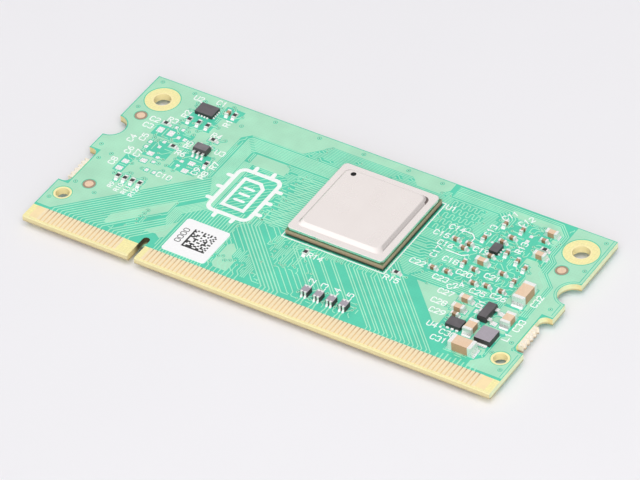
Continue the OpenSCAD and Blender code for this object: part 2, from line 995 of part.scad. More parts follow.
// The metal bands of a capacitor are as long as its solder pads reach inwards
module capacitor_terminals(kind) {
    color(tin_colour)
        at_each(kind[0])
            end_caps(kind[1], -kind[3][0]);
}

module small_capacitor_bodies() {
    on_top()
        capacitor_bodies(small_capacitors);
}

module small_capacitor_terminals() {
    on_top()
        capacitor_terminals(small_capacitors);
}

module medium_capacitor_bodies() {
    on_top()
        capacitor_bodies(medium_capacitors);
}

module medium_capacitor_terminals() {
    on_top()
        capacitor_terminals(medium_capacitors);
}

module large_capacitor_bodies() {
    on_top()
        capacitor_bodies(large_capacitors);
}

module large_capacitor_terminals() {
    on_top()
        capacitor_terminals(large_capacitors);
}

module bulk_capacitor_bodies() {
    on_top()
        capacitor_bodies(bulk_capacitors);
}

module bulk_capacitor_terminals() {
    on_top()
        capacitor_terminals(bulk_capacitors);
}

module resistor_bodies() {
    color(alumina_colour)
        on_top()
            at_each(resistors[0])
                resistor_ceramic(resistors[1]);
}

module resistor_terminals() {
    color(tin_colour)
        on_top()
            at_each(resistors[0])
                resistor_ends(resistors[1]);
}

module resistor_overcoats() {
    color(chip_colour)
        on_top()
            at_each(resistors[0])
                resistor_overcoat(resistors[1]);
}

module solder_joints_top() {
    color(tin_colour)
        on_top()
            joints_of(top_kinds);
}

module label() {
    color([0.97, 0.98, 0.97])
        translate([label_place[0], label_place[1], top_z + mask_thickness])
            linear_extrude(label_thickness)
                rounded_square(label_size, label_size, label_corner_r);
}

module package_body(at, length, width) {
    color(chip_colour)
        underneath()
            translate(at)
                block([length, width, rest_height - package_standoff], package_standoff);
}

module package_balls(at, length, width, rows, inner) {
    pitch = package_ball_pitch;
    count_x = floor((length - 1.5) / pitch) + 1;
    count_y = floor((width - 1.5) / pitch) + 1;
    color(tin_colour)
        underneath()
            translate(at)
                ball_grid(count_x, count_y, rows, inner, pitch, package_standoff);
}

module memory_package() {
    package_body(memory_place, memory_length, memory_width);
}

module memory_balls() {
    package_balls(memory_place, memory_length, memory_width, 2, 0);
}

module flash_package() {
    package_body(flash_place, flash_length, flash_width);
}

module flash_balls() {
    package_balls(flash_place, flash_length, flash_width, 2, 4);
}

module crystal_base() {
    color(alumina_colour)
        underneath()
            at_each([crystal_place])
                block([crystal_length, crystal_width, crystal_height * 0.6], solder_thickness);
}

module crystal_lid() {
    color(lid_colour)
        underneath()
            at_each([crystal_place])
                translate([0, 0, solder_thickness + crystal_height * 0.6])
                    linear_extrude(crystal_height * 0.4)
                        rounded_square(crystal_length - 0.3, crystal_width - 0.3, 0.3);
}

module under_capacitor_bodies() {
    underneath()
        capacitor_bodies(under_capacitors);
}

module under_capacitor_terminals() {
    underneath()
        capacitor_terminals(under_capacitors);
}

module under_resistor_bodies() {
    color(alumina_colour)
        underneath()
            at_each(under_resistors[0])
                resistor_ceramic(under_resistors[1]);
}

module under_resistor_terminals() {
    color(tin_colour)
        underneath()
            at_each(under_resistors[0])
                resistor_ends(under_resistors[1]);
}

module under_resistor_overcoats() {
    color(chip_colour)
        underneath()
            at_each(under_resistors[0])
                resistor_overcoat(under_resistors[1]);
}

module solder_joints_bottom() {
    color(tin_colour)
        underneath()
            joints_of(under_kinds);
}

board();
solder_mask_top();
solder_mask_bottom();
contacts_top();
contacts_bottom();
fiducials();
bare_lands();
processor_balls();
processor_substrate();
processor_die();
lid_adhesive();
processor_lid();
level_shifter();
voltage_monitor_body();
voltage_monitor_leads();
load_switch();
transistor_body();
transistor_leads();
regulator();
inductor_body();
inductor_terminals();
line_filter_bodies();
line_filter_terminals();
small_capacitor_bodies();
small_capacitor_terminals();
medium_capacitor_bodies();
medium_capacitor_terminals();
large_capacitor_bodies();
large_capacitor_terminals();
bulk_capacitor_bodies();
bulk_capacitor_terminals();
resistor_bodies();
resistor_terminals();
resistor_overcoats();
solder_joints_top();
label();
memory_package();
memory_balls();
flash_package();
flash_balls();
crystal_base();
crystal_lid();
under_capacitor_bodies();
under_capacitor_terminals();
under_resistor_bodies();
under_resistor_terminals();
under_resistor_overcoats();
solder_joints_bottom();
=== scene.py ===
"""Looks for the system on module: camera, light, materials, copper artwork, screen print and label print."""

import math
import random

import bpy
from mathutils import Matrix, Vector
from mathutils.geometry import tessellate_polygon


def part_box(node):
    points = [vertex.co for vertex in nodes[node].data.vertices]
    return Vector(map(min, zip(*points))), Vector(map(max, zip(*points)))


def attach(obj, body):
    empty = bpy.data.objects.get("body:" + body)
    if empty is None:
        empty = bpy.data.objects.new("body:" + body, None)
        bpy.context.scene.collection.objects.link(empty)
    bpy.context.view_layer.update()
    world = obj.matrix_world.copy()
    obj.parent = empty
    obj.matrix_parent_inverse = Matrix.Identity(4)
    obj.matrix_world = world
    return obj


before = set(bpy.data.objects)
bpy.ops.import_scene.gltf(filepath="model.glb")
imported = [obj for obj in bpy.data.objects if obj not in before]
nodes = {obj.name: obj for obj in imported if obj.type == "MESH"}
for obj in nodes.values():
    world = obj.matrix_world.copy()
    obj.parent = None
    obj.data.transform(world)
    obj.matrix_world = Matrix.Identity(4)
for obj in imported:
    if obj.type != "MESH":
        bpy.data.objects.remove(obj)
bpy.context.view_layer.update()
MM = 0.001
LENGTH, WIDTH = (round((high - low) / MM, 3) for low, high in list(zip(*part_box("board")))[:2])
rng = random.Random(7)


def add_object(name, data):
    thing = bpy.data.objects.new(name, data)
    bpy.context.scene.collection.objects.link(thing)
    return thing


# Camera: solved from the contact pitch, the holes and the board's corners

def set_camera():
    az, el, roll = (math.radians(angle) for angle in (34.812, 41.2, -4.126))
    distance, focal_px, image_px, sensor = 0.595909, 4833.92, 640, 36
    back = Vector((math.sin(az) * math.cos(el), -math.cos(az) * math.cos(el), math.sin(el)))
    right = Vector((math.cos(az), math.sin(az), 0))
    up = back.cross(right)
    x = math.cos(roll) * right + math.sin(roll) * up
    y = -math.sin(roll) * right + math.cos(roll) * up
    target = Vector((0.00138, -0.001642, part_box("board")[1][2]))
    place = target + back * distance
    data = bpy.data.cameras.new("camera")
    data.sensor_width = sensor
    data.sensor_fit = "HORIZONTAL"
    data.lens = focal_px / image_px * sensor
    data.clip_start, data.clip_end = 0.01, 20
    camera = add_object("camera", data)
    camera.matrix_world = Matrix.Translation(place) @ Matrix((x, y, back)).transposed().to_4x4()
    bpy.context.scene.camera = camera


# Material helpers

class Tree:
    """Short ways to add and join the nodes of a material or the world."""

    def __init__(self, owner):
        owner.use_nodes = True
        self.nodes, self.join = owner.node_tree.nodes, owner.node_tree.links.new
        self.nodes.clear()

    def feed(self, socket, value):
        """Link a socket to another, or give it a value of its own."""
        if isinstance(value, bpy.types.NodeSocket):
            self.join(value, socket)
        else:
            socket.default_value = (*value, 1) if socket.type == "RGBA" else value

    def add(self, kind, *values, **named):
        """A node with its first inputs in order; a name with a capital is an input, any other a setting."""
        node = self.nodes.new("ShaderNode" + kind)
        for key, value in named.items():
            if key[0].isupper():
                self.feed(node.inputs[key.replace("_", " ")], value)
            else:
                setattr(node, key, value)
        for socket, value in zip(node.inputs, values):
            self.feed(socket, value)
        return node

    def math(self, operation, a, b=0.0, **settings):
        return self.add("Math", a, b, operation=operation, **settings).outputs[0]

    def plus(self, a, b):
        return self.math("ADD", a, b)

    def minus(self, a, b):
        return self.math("SUBTRACT", a, b)

    def times(self, a, b):
        return self.math("MULTIPLY", a, b)

    def less(self, a, b):
        return self.math("LESS_THAN", a, b)

    def more(self, a, b):
        return self.math("GREATER_THAN", a, b)

    def size(self, a):
        return self.math("ABSOLUTE", a)

    def split(self, vector):
        return self.add("SeparateXYZ", vector).outputs


class Shader(Tree):
    """A Principled material with its texture nodes."""

    def __init__(self, name, base, roughness, metallic=0.0, **sockets):
        self.material = bpy.data.materials.new(name)
        super().__init__(self.material)
        self.bsdf = self.add("BsdfPrincipled", Base_Color=base, Roughness=roughness, Metallic=metallic,
                             **sockets)
        self.add("OutputMaterial", self.bsdf.outputs[0])
        self.vector = None

    def scaled(self, vector, scale):
        return self.add("Mapping", Vector=vector, Scale=scale).outputs[0]

    def mm(self):
        """Object coordinates in millimetres."""
        if self.vector is None:
            self.vector = self.scaled(self.add("TexCoord").outputs["Object"], (1 / MM,) * 3)
        return self.vector

    def noise(self, scale, detail=3.0, stretch=None):
        vector = self.scaled(self.mm(), stretch) if stretch else self.mm()
        return self.add("TexNoise", Vector=vector, Scale=scale, Detail=detail).outputs["Fac"]

    def wave(self, scale, direction, distortion):
        return self.add("TexWave", bands_direction=direction, Vector=self.mm(), Scale=scale,
                        Distortion=distortion).outputs["Fac"]

    def turn(self):
        """The three parts of the surface's direction."""
        return self.split(self.add("NewGeometry").outputs["Normal"])

    def level(self):
        """1 on faces that look up or down, 0 on upright ones."""
        return self.size(self.turn()[2])

    def ramp(self, factor, *stops):
        """Colours, or greys where a stop has one number."""
        node = self.add("ValToRGB", factor)
        elements = node.color_ramp.elements
        while len(elements) < len(stops):
            elements.new(0.5)
        for element, (position, colour) in zip(elements, stops):
            element.position = position
            element.color = (*(colour if isinstance(colour, tuple) else (colour,) * 3), 1)
        return node.outputs[0]

    def mix(self, factor, a, b, mode="MIX"):
        node = self.add("Mix", factor, data_type="RGBA", blend_type=mode)
        self.feed(node.inputs[6], a)
        self.feed(node.inputs[7], b)
        return node.outputs[2]

    def base(self, colour):
        self.feed(self.bsdf.inputs["Base Color"], colour)

    def rough(self, factor, low, high):
        self.feed(self.bsdf.inputs["Roughness"], self.ramp(factor, (0.3, low), (0.7, high)))

    def bump(self, height, strength, depth_mm):
        node = self.add("Bump", Strength=strength, Distance=depth_mm * MM, Height=height)
        self.feed(self.bsdf.inputs["Normal"], node.outputs[0])


def shade(base, factor):
    return tuple(min(1.0, c * factor) for c in base)


def make_laminate():
    s = Shader("laminate", (0.9, 0.76, 0.42), 0.5)
    x, y, z = s.split(s.mm())
    across, ends_from = s.size(x), 25.0
    weave = s.times(s.wave(0.9, "X", 0.6), s.wave(0.9, "Y", 0.6))
    face = s.ramp(weave, (0.0, (0.96, 0.86, 0.41)), (1.0, (0.99, 0.92, 0.5)))
    side = s.ramp(s.wave(2.6, "Z", 0.35),
                  (0.1, (0.78, 0.6, 0.2)), (0.55, (0.9, 0.76, 0.36)), (0.95, (0.93, 0.82, 0.47)))
    # Painted light: the board's end faces paler and greener than its long sides, standing in for light
    # bouncing onto and glowing through them
    ends = s.times(s.size(s.turn()[0]), s.more(across, ends_from))
    side = s.mix(s.times(ends, 0.75), side, (0.82, 0.97, 0.64))
    # Painted shade at the inner end of the key slot
    slot = s.times(s.less(across, ends_from), s.less(y, -10.0))
    slot = s.times(slot, s.ramp(s.plus(y, 14.1), (0.0, 0.0), (1.0, 0.97)))
    side = s.mix(slot, side, (0.05, 0.035, 0.015))
    # Torn stubs of the tabs
    stub = s.times(s.more(across, 32.42), s.less(s.size(s.plus(y, 4.0)), 2.6))
    torn = s.ramp(s.noise(5.0, 4.0, (1, 1, 0.3)), (0.35, (0.93, 0.8, 0.58)), (0.6, (1.0, 0.94, 0.84)))
    side, face = s.mix(stub, side, torn), s.mix(stub, face, torn)
    # Pale walls of the holes, lightened past the laminate's own side as painted light inside the holes
    lit_walls = 0.0
    for cx, cy, r in ((30.8, 11.75, 1.3), (31.8, -9.5, 1.05)):
        away = s.plus(s.math("POWER", s.minus(across, cx), 2.0), s.math("POWER", s.minus(y, cy), 2.0))
        lit_walls = s.math("MAXIMUM", s.less(away, r * r), lit_walls)
    # Sides darker and browner towards the bottom, reaching higher along the contact edge, and a cooler tone
    # along the contact edge
    front = s.less(y, -15.28)
    low_brown = s.times(s.minus(s.plus(s.times(front, 0.09), 1.33), z), 3.0)
    side = s.mix(s.ramp(low_brown, (0.0, 0.0), (0.85, 0.9)), side, (0.4, 0.28, 0.13))
    grain = s.ramp(s.noise(3.0, 4.0, (1, 1, 6)), (0.35, 0.86), (0.65, 1.0))
    bare = s.mix(0.6, s.mix(s.level(), side, face), grain, "MULTIPLY")
    bare = s.mix(front, bare, s.mix(1.0, bare, (0.88, 0.91, 1.03), "MULTIPLY"))
    s.base(s.mix(lit_walls, bare, (1.0, 0.88, 0.48)))
    s.rough(s.noise(4.0), 0.42, 0.6)
    s.bump(s.noise(9.0, 4.0), 0.25, 0.02)
    return s.material


def make_mask(name, base, gain):
    s = Shader(name, base, 0.33, Specular_IOR_Level=0.5)
    tone = s.ramp(s.noise(0.35, 4.0), (0.3, shade(base, 0.93)), (0.7, shade(base, gain)))
    weave = s.plus(s.wave(0.8, "X", 0.5), s.wave(0.8, "Y", 0.5))
    s.base(s.mix(0.35, tone, s.ramp(weave, (0.2, 0.9), (0.9, 1.0)), "MULTIPLY"))
    s.rough(s.noise(1.6), 0.28, 0.4)
    s.bump(s.plus(weave, s.noise(5.0, 3.0)), 0.18, 0.006)
    return s.material


def make_surface(name, base, rough, grain, tones, bump, stretch=None, metallic=0.0):
    """A surface whose mottling, gloss and relief follow one noise."""
    s = Shader(name, base, sum(rough) / 2, metallic)
    n = s.noise(grain, 4.0, stretch)
    s.base(s.ramp(n, *((at, shade(base, tone)) for at, tone in zip((0.3, 0.7), tones))))
    s.rough(n, *rough)
    s.bump(n, *bump)
    return s.material


def make_metal(name, base, rough, grain, bump=(0.3, 0.01), stretch=None, metallic=1.0):
    return make_surface(name, base, rough, grain, (0.9, 1.04), bump, stretch, metallic)


def make_plain(name, base, rough, grain, variation=0.12, bump=(0.2, 0.01)):
    return make_surface(name, base, rough, grain, (1 - variation, 1 + variation / 2), bump)


def make_solder():
    s = Shader("solder", (0.86, 0.86, 0.84), 0.3, 0.6)
    n = s.noise(5.0, 3.0)
    s.base(s.ramp(n, (0.3, (0.82, 0.82, 0.8)), (0.7, (0.97, 0.97, 0.96))))
    s.rough(s.noise(9.0), 0.22, 0.4)
    s.bump(n, 0.25, 0.02)
    return s.material


def make_epoxy(name, tone=1.0):
    s = Shader(name, (0.11, 0.1, 0.11), 0.5)
    speck = s.noise(16.0, 2.0)
    dark = s.ramp(s.noise(1.2, 3.0),
                  (0.3, shade((0.105, 0.094, 0.104), tone)), (0.7, shade((0.14, 0.128, 0.138), tone)))
    top = s.mix(0.5, dark, s.ramp(speck, (0.45, 0.7), (0.7, 1.2)), "MULTIPLY")
    # Painted shade and sheen: upright faces near-black, tops lighter
    s.base(s.mix(s.level(), (0.035, 0.03, 0.033), top))
    s.rough(speck, 0.42, 0.58)
    s.bump(speck, 0.5, 0.01)
    return s.material


def make_ceramic(name, *tones):
    """Fired ceramic whose tone differs from piece to piece, with painted shade on its upright faces."""
    s = Shader(name, tones[0], 0.5)
    island = s.add("NewGeometry").outputs["Random Per Island"]
    own = s.ramp(island, *((i / (len(tones) - 1), tone) for i, tone in enumerate(tones)))
    speck = s.ramp(s.noise(12.0, 3.0), (0.35, 0.86), (0.65, 1.0))
    fired = s.mix(0.8, own, speck, "MULTIPLY")
    # Painted shade: upright faces darker and browner than the tops
    s.base(s.mix(s.level(), s.mix(1.0, fired, (0.62, 0.5, 0.42), "MULTIPLY"), fired))
    s.rough(s.noise(6.0), 0.42, 0.56)
    s.bump(s.noise(12.0, 3.0), 0.3, 0.01)
    return s.material


def make_strip():
    """Laminate between the contacts: its own brown cast, deepened as painted shade between the contacts, and
    darker towards the mask.
    """
    s = Shader("contact_strip", (0.86, 0.58, 0.29), 0.55)
    low, high = (corner[1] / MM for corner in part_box("contacts_top"))
    inward = s.math("DIVIDE", s.minus(s.split(s.mm())[1], low), high - low)
    tone = s.ramp(inward, (0.0, (0.9, 0.68, 0.32)), (0.5, (0.87, 0.6, 0.29)),
                  (0.85, (0.66, 0.46, 0.26)), (1.0, (0.36, 0.32, 0.21)))
    n = s.noise(3.0, 4.0)
    s.base(s.mix(0.7, tone, s.ramp(n, (0.3, 0.86), (0.7, 1.0)), "MULTIPLY"))
    s.rough(n, 0.5, 0.6)
    s.bump(n, 0.2, 0.01)
    return s.material


def make_ferrite():
    s = Shader("grey_ferrite", (0.38, 0.345, 0.39), 0.48)
    n = s.noise(10.0, 4.0)
    top = s.ramp(n, (0.3, (0.35, 0.315, 0.355)), (0.7, (0.43, 0.39, 0.44)))
    side = s.ramp(n, (0.3, (0.03, 0.02, 0.025)), (0.7, (0.055, 0.04, 0.045)))
    # Painted shade: upright faces near-black under lighter tops
    s.base(s.mix(s.level(), side, top))
    s.rough(n, 0.4, 0.55)
    s.bump(n, 0.4, 0.012)
    return s.material


def make_substrate():
    s = Shader("package_laminate", (0.42, 0.3, 0.24), 0.5)
    layers = s.ramp(s.wave(1.7, "Z", 0.3),
                    (0.1, (0.43, 0.24, 0.15)), (0.5, (0.58, 0.36, 0.25)), (0.9, (0.65, 0.44, 0.33)))
    fibre = s.ramp(s.noise(4.0, 4.0, (1, 1, 5)), (0.35, 0.78), (0.65, 1.0))
    low, high = (corner[2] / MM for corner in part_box("processor_substrate"))
    depth = s.math("DIVIDE", s.minus(s.split(s.mm())[2], low), high - low)
    # Painted shade: the sides darken towards the bottom, over the dark gap under the package
    layers = s.mix(s.ramp(depth, (0.0, 0.85), (0.6, 0.0)), layers, (0.23, 0.13, 0.08))
    s.base(s.mix(s.level(), s.mix(0.7, layers, fibre, "MULTIPLY"), (0.12, 0.2, 0.1)))
    s.rough(s.noise(5.0), 0.42, 0.6)
    s.bump(s.noise(6.0, 4.0, (1, 1, 4)), 0.3, 0.02)
    return s.material


def make_lid():
    """Nickel plate with a printed dot at one corner, and painted shade: a dark line at the foot of its raised
    middle, except on slopes that face the front, and darker strokes at two opposite corners.
    """
    s = Shader("nickel_lid", (0.9, 0.84, 0.815), 0.36, 1.0, Specular_IOR_Level=0.1)
    plate = s.ramp(s.noise(0.3, 2.0), (0.3, (0.895, 0.833, 0.808)), (0.7, (0.915, 0.855, 0.83)))
    lo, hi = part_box("processor_lid")
    cx, cy, top = (lo[0] + hi[0]) / 2 / MM, (lo[1] + hi[1]) / 2 / MM, hi[2] / MM
    rise, dot_r, corner_from = 0.5, 0.37, 28.5
    dot = s.add("VectorMath", s.mm(), (cx - 4.5, cy + 4.95, top), operation="DISTANCE")
    printed = s.less(dot.outputs["Value"], dot_r)
    x, y, z = s.split(s.mm())
    foot = top - rise
    # Painted shade along the foot of the raised middle and at two opposite corners
    away = s.more(s.turn()[1], -0.05)
    corner = s.more(s.times(s.minus(x, cx), s.minus(y, cy)), corner_from)
    for part, height, tone in ((1.0, 0.1, (0.68, 0.63, 0.61)), (corner, 0.2, (0.25, 0.21, 0.2))):
        crease_shade = s.less(s.size(s.minus(z, foot + 0.005 + height / 2)), height / 2)
        plate = s.mix(s.times(s.times(crease_shade, away), part), plate, tone)
    s.base(s.mix(printed, plate, (0.015, 0.015, 0.015)))
    s.feed(s.bsdf.inputs["Metallic"], s.minus(1.0, printed))
    s.rough(s.noise(0.4, 2.0), 0.24, 0.29)
    s.bump(s.noise(0.7, 2.0), 0.04, 0.004)
    return s.material


laminate = make_laminate()
mask = make_mask("mask_over_laminate", (0.088, 0.618, 0.42), 1.06)
mint = make_mask("mask_over_copper", (0.41, 0.77, 0.55), 1.05)
line_mint = make_mask("mask_over_traces", (0.4, 0.82, 0.59), 1.05)
gold = make_metal("gold_plating", (1.0, 0.83, 0.565), (0.28, 0.42), 3.0, (0.25, 0.006), (6, 0.6, 1), 0.6)
copper = make_metal("bare_copper", (0.98, 0.72, 0.53), (0.35, 0.5), 4.0)
solder = make_solder()
plating = make_metal("tin_plating", (0.92, 0.92, 0.9), (0.26, 0.42), 7.0, (0.3, 0.012), metallic=0.5)
lid_metal = make_lid()
nickel = make_metal("nickel_can", (0.82, 0.8, 0.77), (0.28, 0.38), 3.0, (0.1, 0.004))
epoxy = make_epoxy("epoxy")
grey_epoxy = make_epoxy("grey_epoxy", 1.6)
ceramic = make_ceramic("brown_ceramic", (0.4, 0.25, 0.16), (0.5, 0.32, 0.2), (0.45, 0.3, 0.2))
pale_ceramic = make_ceramic("tan_ceramic", (0.85, 0.6, 0.41), (0.88, 0.66, 0.47), (0.84, 0.61, 0.44))
substrate = make_substrate()
alumina = make_plain("alumina", (0.82, 0.81, 0.78), (0.4, 0.55), 8.0)
overcoat = make_plain("dark_glaze", (0.03, 0.028, 0.03), (0.25, 0.4), 8.0, 0.3)
ferrite = make_ferrite()
silicon = make_plain("silicon", (0.1, 0.1, 0.13), (0.1, 0.2), 4.0)
adhesive = make_plain("adhesive", (0.03, 0.035, 0.03), (0.5, 0.7), 5.0, 0.3, (0.5, 0.03))
paper = make_plain("label_film", (0.955, 0.95, 0.955), (0.45, 0.55), 5.0, 0.03, (0.15, 0.004))
ink_white = make_plain("white_print", (0.95, 0.97, 0.95), (0.5, 0.65), 6.0, 0.06, (0.3, 0.006))
ink_black = make_plain("black_print", (0.02, 0.02, 0.02), (0.45, 0.6), 6.0, 0.3, (0.2, 0.004))
bare_moat = make_plain("bare_laminate_gap", (0.4, 0.29, 0.21), (0.5, 0.6), 5.0, 0.15)
strip_tint = make_strip()
end_tint = make_plain("contact_strip_end", (0.97, 0.78, 0.45), (0.5, 0.6), 0.8, 0.06)
via_hole = make_plain("via_hole", (0.04, 0.3, 0.2), (0.4, 0.5), 6.0)
# Painted shade: a dark sheet under the processor
painted_gap_shade = make_plain("shade_under_processor", (0.035, 0.15, 0.1), (0.45, 0.6), 4.0, 0.3, (0.2, 0.006))

CAPS = [size + "_capacitor_terminals" for size in ("small", "medium", "large", "bulk")]
NODE_MATERIALS = {
    laminate: ["board"],
    mask: ["solder_mask_top", "solder_mask_bottom"],
    gold: ["contacts_top", "contacts_bottom"],
    copper: ["fiducials"],
    lid_metal: ["processor_lid"],
    nickel: ["crystal_lid"],
    substrate: ["processor_substrate"],
    silicon: ["processor_die"],
    adhesive: ["lid_adhesive"],
    paper: ["label"],
    ceramic: ["small_capacitor_bodies", "under_capacitor_bodies"],
    pale_ceramic: ["medium_capacitor_bodies", "large_capacitor_bodies", "bulk_capacitor_bodies"],
    alumina: ["resistor_bodies", "under_resistor_bodies", "crystal_base"],
    overcoat: ["resistor_overcoats", "under_resistor_overcoats"],
    ferrite: ["inductor_body", "line_filter_bodies"],
    epoxy: ["level_shifter", "load_switch", "transistor_body", "regulator", "memory_package",
            "flash_package"],
    grey_epoxy: ["voltage_monitor_body"],
    solder: ["solder_joints_top", "solder_joints_bottom", "bare_lands", "processor_balls",
             "memory_balls", "flash_balls"],
    plating: CAPS + ["voltage_monitor_leads", "transistor_leads", "inductor_terminals", "resistor_terminals",
                     "line_filter_terminals", "under_capacitor_terminals", "under_resistor_terminals"],
}
# Widths of the bevels in mm
SOFT_EDGES = {
    0.03: ["voltage_monitor_body", "transistor_body", "level_shifter", "load_switch", "regulator",
           "inductor_body", "line_filter_bodies", "memory_package", "flash_package"],
    0.02: CAPS + ["processor_substrate", "bare_lands", "board", "crystal_base", "crystal_lid"],
    0.012: ["resistor_terminals", "line_filter_terminals", "contacts_top", "contacts_bottom", "label"],
}


def dress_nodes():
    for material, names in NODE_MATERIALS.items():
        for name in names:
            slots = nodes[name].data.materials
            slots.clear()
            slots.append(material)
    for width, names in SOFT_EDGES.items():
        for name in names:
            bevel = nodes[name].modifiers.new("soft_edges", "BEVEL")
            bevel.width = width * MM
            bevel.segments = 2
            bevel.limit_method = "ANGLE"
            bevel.angle_limit = math.radians(40)


# Thin films of copper, mask and ink, drawn in mm from the left end and from the contact edge

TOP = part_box("solder_mask_top")[1][2] / MM
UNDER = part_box("solder_mask_bottom")[0][2] / MM
# A shape's lift over the one before it, and how many lifts come before they start again
LIFT, LIFTS = 0.00016, 23


def layer(n):
    """Height of the n-th film over the mask."""
    return 0.004 + 0.0045 * n


class Film:
    """Flat shapes of one ink or layer, each with a skirt down to what it lies on."""

    def __init__(self, name, material, high, low=0.0, below=False):
        self.name, self.material, self.below = name, material, below
        self.low, self.high = (UNDER - low, UNDER - high) if below else (TOP + low, TOP + high)
        self.verts, self.faces, self.count = [], [], 0
        self.paths, self.outlines, self.discs = [], [], []

    def area(self, points, holes=()):
        """A filled outline with holes; each lies a hair higher than the last, so that none share a plane."""
        rise = (-LIFT if self.below else LIFT) * (self.count % LIFTS)
        self.outlines.append(points)
        self.count += 1
        loops = [turned(points, 1)] + [turned(h, -1) for h in holes]
        flat = [p for loop in loops for p in loop]
        n, start = len(flat), len(self.verts)
        for z in (self.low, self.high + rise):
            self.verts += [((x - LENGTH / 2) * MM, (y - WIDTH / 2) * MM, z * MM) for x, y in flat]
        faces = []
        for a, b, c in tessellate_polygon([[Vector((x, y, 0)) for x, y in loop] for loop in loops]):
            (ax, ay), (bx, by), (cx, cy) = flat[a], flat[b], flat[c]
            up = (bx - ax) * (cy - ay) - (by - ay) * (cx - ax) > 0
            faces.append((n + a, n + b, n + c) if up else (n + c, n + b, n + a))
        first = 0
        for loop in loops:
            k = len(loop)
            for i in range(k):
                a, b = first + i, first + (i + 1) % k
                faces.append((a, b, n + b, n + a))
            first += k
        if self.below:
            faces = [f[::-1] for f in faces]
        self.faces += [tuple(start + i for i in f) for f in faces]

    def line(self, points, width, cap=False):
        """A stroke of even width with mitred corners, and round ends if asked."""
        if cap:
            self.disc(points[0], width / 2, 8)
            self.disc(points[-1], width / 2, 8)
        self.paths.append(points)
        left, right = offset(points, width / 2), offset(points, -width / 2)
        for i in range(len(points) - 1):
            self.area([left[i], left[i + 1], right[i + 1], right[i]])

    def disc(self, centre, r, n=16):
        self.discs.append((centre, r))
        self.area(circle(centre, r, n))

    def ring(self, centre, r, width, n):
        outer, inner = circle(centre, r + width / 2, n), circle(centre, r - width / 2, n)
        for i in range(n):
            j = (i + 1) % n
            self.area([outer[i], outer[j], inner[j], inner[i]])

    def done(self, slot):
        mesh = bpy.data.meshes.new(self.name)
        mesh.from_pydata(self.verts, [], self.faces)
        mesh.materials.append(self.material)
        mesh.validate()
        piece = add_object(self.name, mesh)
        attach(piece, "root")


def turned(points, way):
    """The loop counter-clockwise for 1 and clockwise for -1."""
    area = sum(a[0] * b[1] - b[0] * a[1] for a, b in zip(points, points[1:] + points[:1]))
    return points if area * way > 0 else points[::-1]


def circle(centre, r, n, start=0.0, turn=360.0):
    steps = n if turn == 360 else n + 1
    angles = [math.radians(start + turn * i / n) for i in range(steps)]
    return [(centre[0] + r * math.cos(a), centre[1] + r * math.sin(a)) for a in angles]


def rectangle(x0, y0, x1, y1):
    return [(x0, y0), (x1, y0), (x1, y1), (x0, y1)]


def offset(points, d):
    """A line beside another at distance d, on its left where d is positive."""
    out = []
    for i, p in enumerate(points):
        dirs = []
        for a, b in ((i - 1, i), (i, i + 1)):
            if a >= 0 and b < len(points):
                v = Vector(points[b]) - Vector(points[a])
                if v.length > 1e-9:
                    dirs.append(v.normalized())
        normals = [Vector((-v.y, v.x)) for v in dirs]
        m = sum(normals, Vector((0, 0))).normalized()
        reach = d / max(0.35, m.dot(normals[0]))
        out.append((p[0] + m.x * reach, p[1] + m.y * reach))
    return out


def layout_box(name, margin=0.0):
    """The box round a CAD node, as seen on the board."""
    lo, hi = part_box(name)
    return (lo[0] / MM + LENGTH / 2 - margin, lo[1] / MM + WIDTH / 2 - margin,
            hi[0] / MM + LENGTH / 2 + margin, hi[1] / MM + WIDTH / 2 + margin)


def loose_boxes(name):
    """Boxes round the loose pieces of a CAD node."""
    mesh = nodes[name].data
    keys, parent, index = {}, [], []
    for v in mesh.vertices:
        key = tuple(round(c * 1e6) for c in v.co)
        if key not in keys:
            keys[key] = len(parent)
            parent.append(len(parent))
        index.append(keys[key])

    def top(i):
        while parent[i] != i:
            parent[i] = parent[parent[i]]
            i = parent[i]
        return i

    for e in mesh.edges:
        parent[top(index[e.vertices[0]])] = top(index[e.vertices[1]])
    boxes = {}
    for v, i in zip(mesh.vertices, index):
        x, y = v.co.x / MM + LENGTH / 2, v.co.y / MM + WIDTH / 2
        b = boxes.setdefault(top(i), [x, y, x, y])
        b[0], b[1], b[2], b[3] = min(b[0], x), min(b[1], y), max(b[2], x), max(b[3], y)
    return sorted(boxes.values())


pour = Film("copper_pour", mint, layer(0))
opening = Film("pour_openings", mask, 0.0066)
gap = Film("pour_clearance", mask, layer(1))
fine = Film("fine_traces", line_mint, layer(2))
trace = Film("copper_traces", line_mint, layer(3))
via = Film("via_lands", mint, layer(4))
drill = Film("via_holes", via_hole, layer(5))
screen = Film("screen_print", ink_white, layer(6))

# Widths of traces, and radii of via lands
FINE, THIN, SMALL, WIDE = 0.12, 0.13, 0.17, 0.2
TINY_VIA, SMALL_VIA, PLAIN_VIA = 0.16, 0.19, 0.22
# Pitch of the contacts, where traces meet them, and how near the pours come to the long edges
PITCH, FOOT, POUR_FOOT, EDGE = 0.6, 2.5, 2.95, WIDTH - 0.12
# Where traces end under the processor: its left, its right and its front
CHIP_LEFT, CHIP_RIGHT, CHIP_FRONT = 30.5, 45.4, 12.25
# Clear circles round the holes and the alignment marks
RINGS = [((3, 27.25), 2.45), ((64.6, 27.25), 2.45), ((2, 6), 1.3), ((65.6, 6), 1.3),
         ((2.3, 23.3), 0.95), ((4, 9), 0.95), ((64.15, 23.2), 0.95)]
# Circles that cover the notches, the tabs and the key slot
CUTS = [((0, 20), 2.4), ((LENGTH, 20), 2.4), ((0, 11.5), 3.4), ((LENGTH, 11.5), 3.4), ((16.25, 3.5), 1.0)]


def ring_holes(rings, x0, x1):
    return [circle(c, r, 36) for c, r in rings if x0 < c[0] < x1]


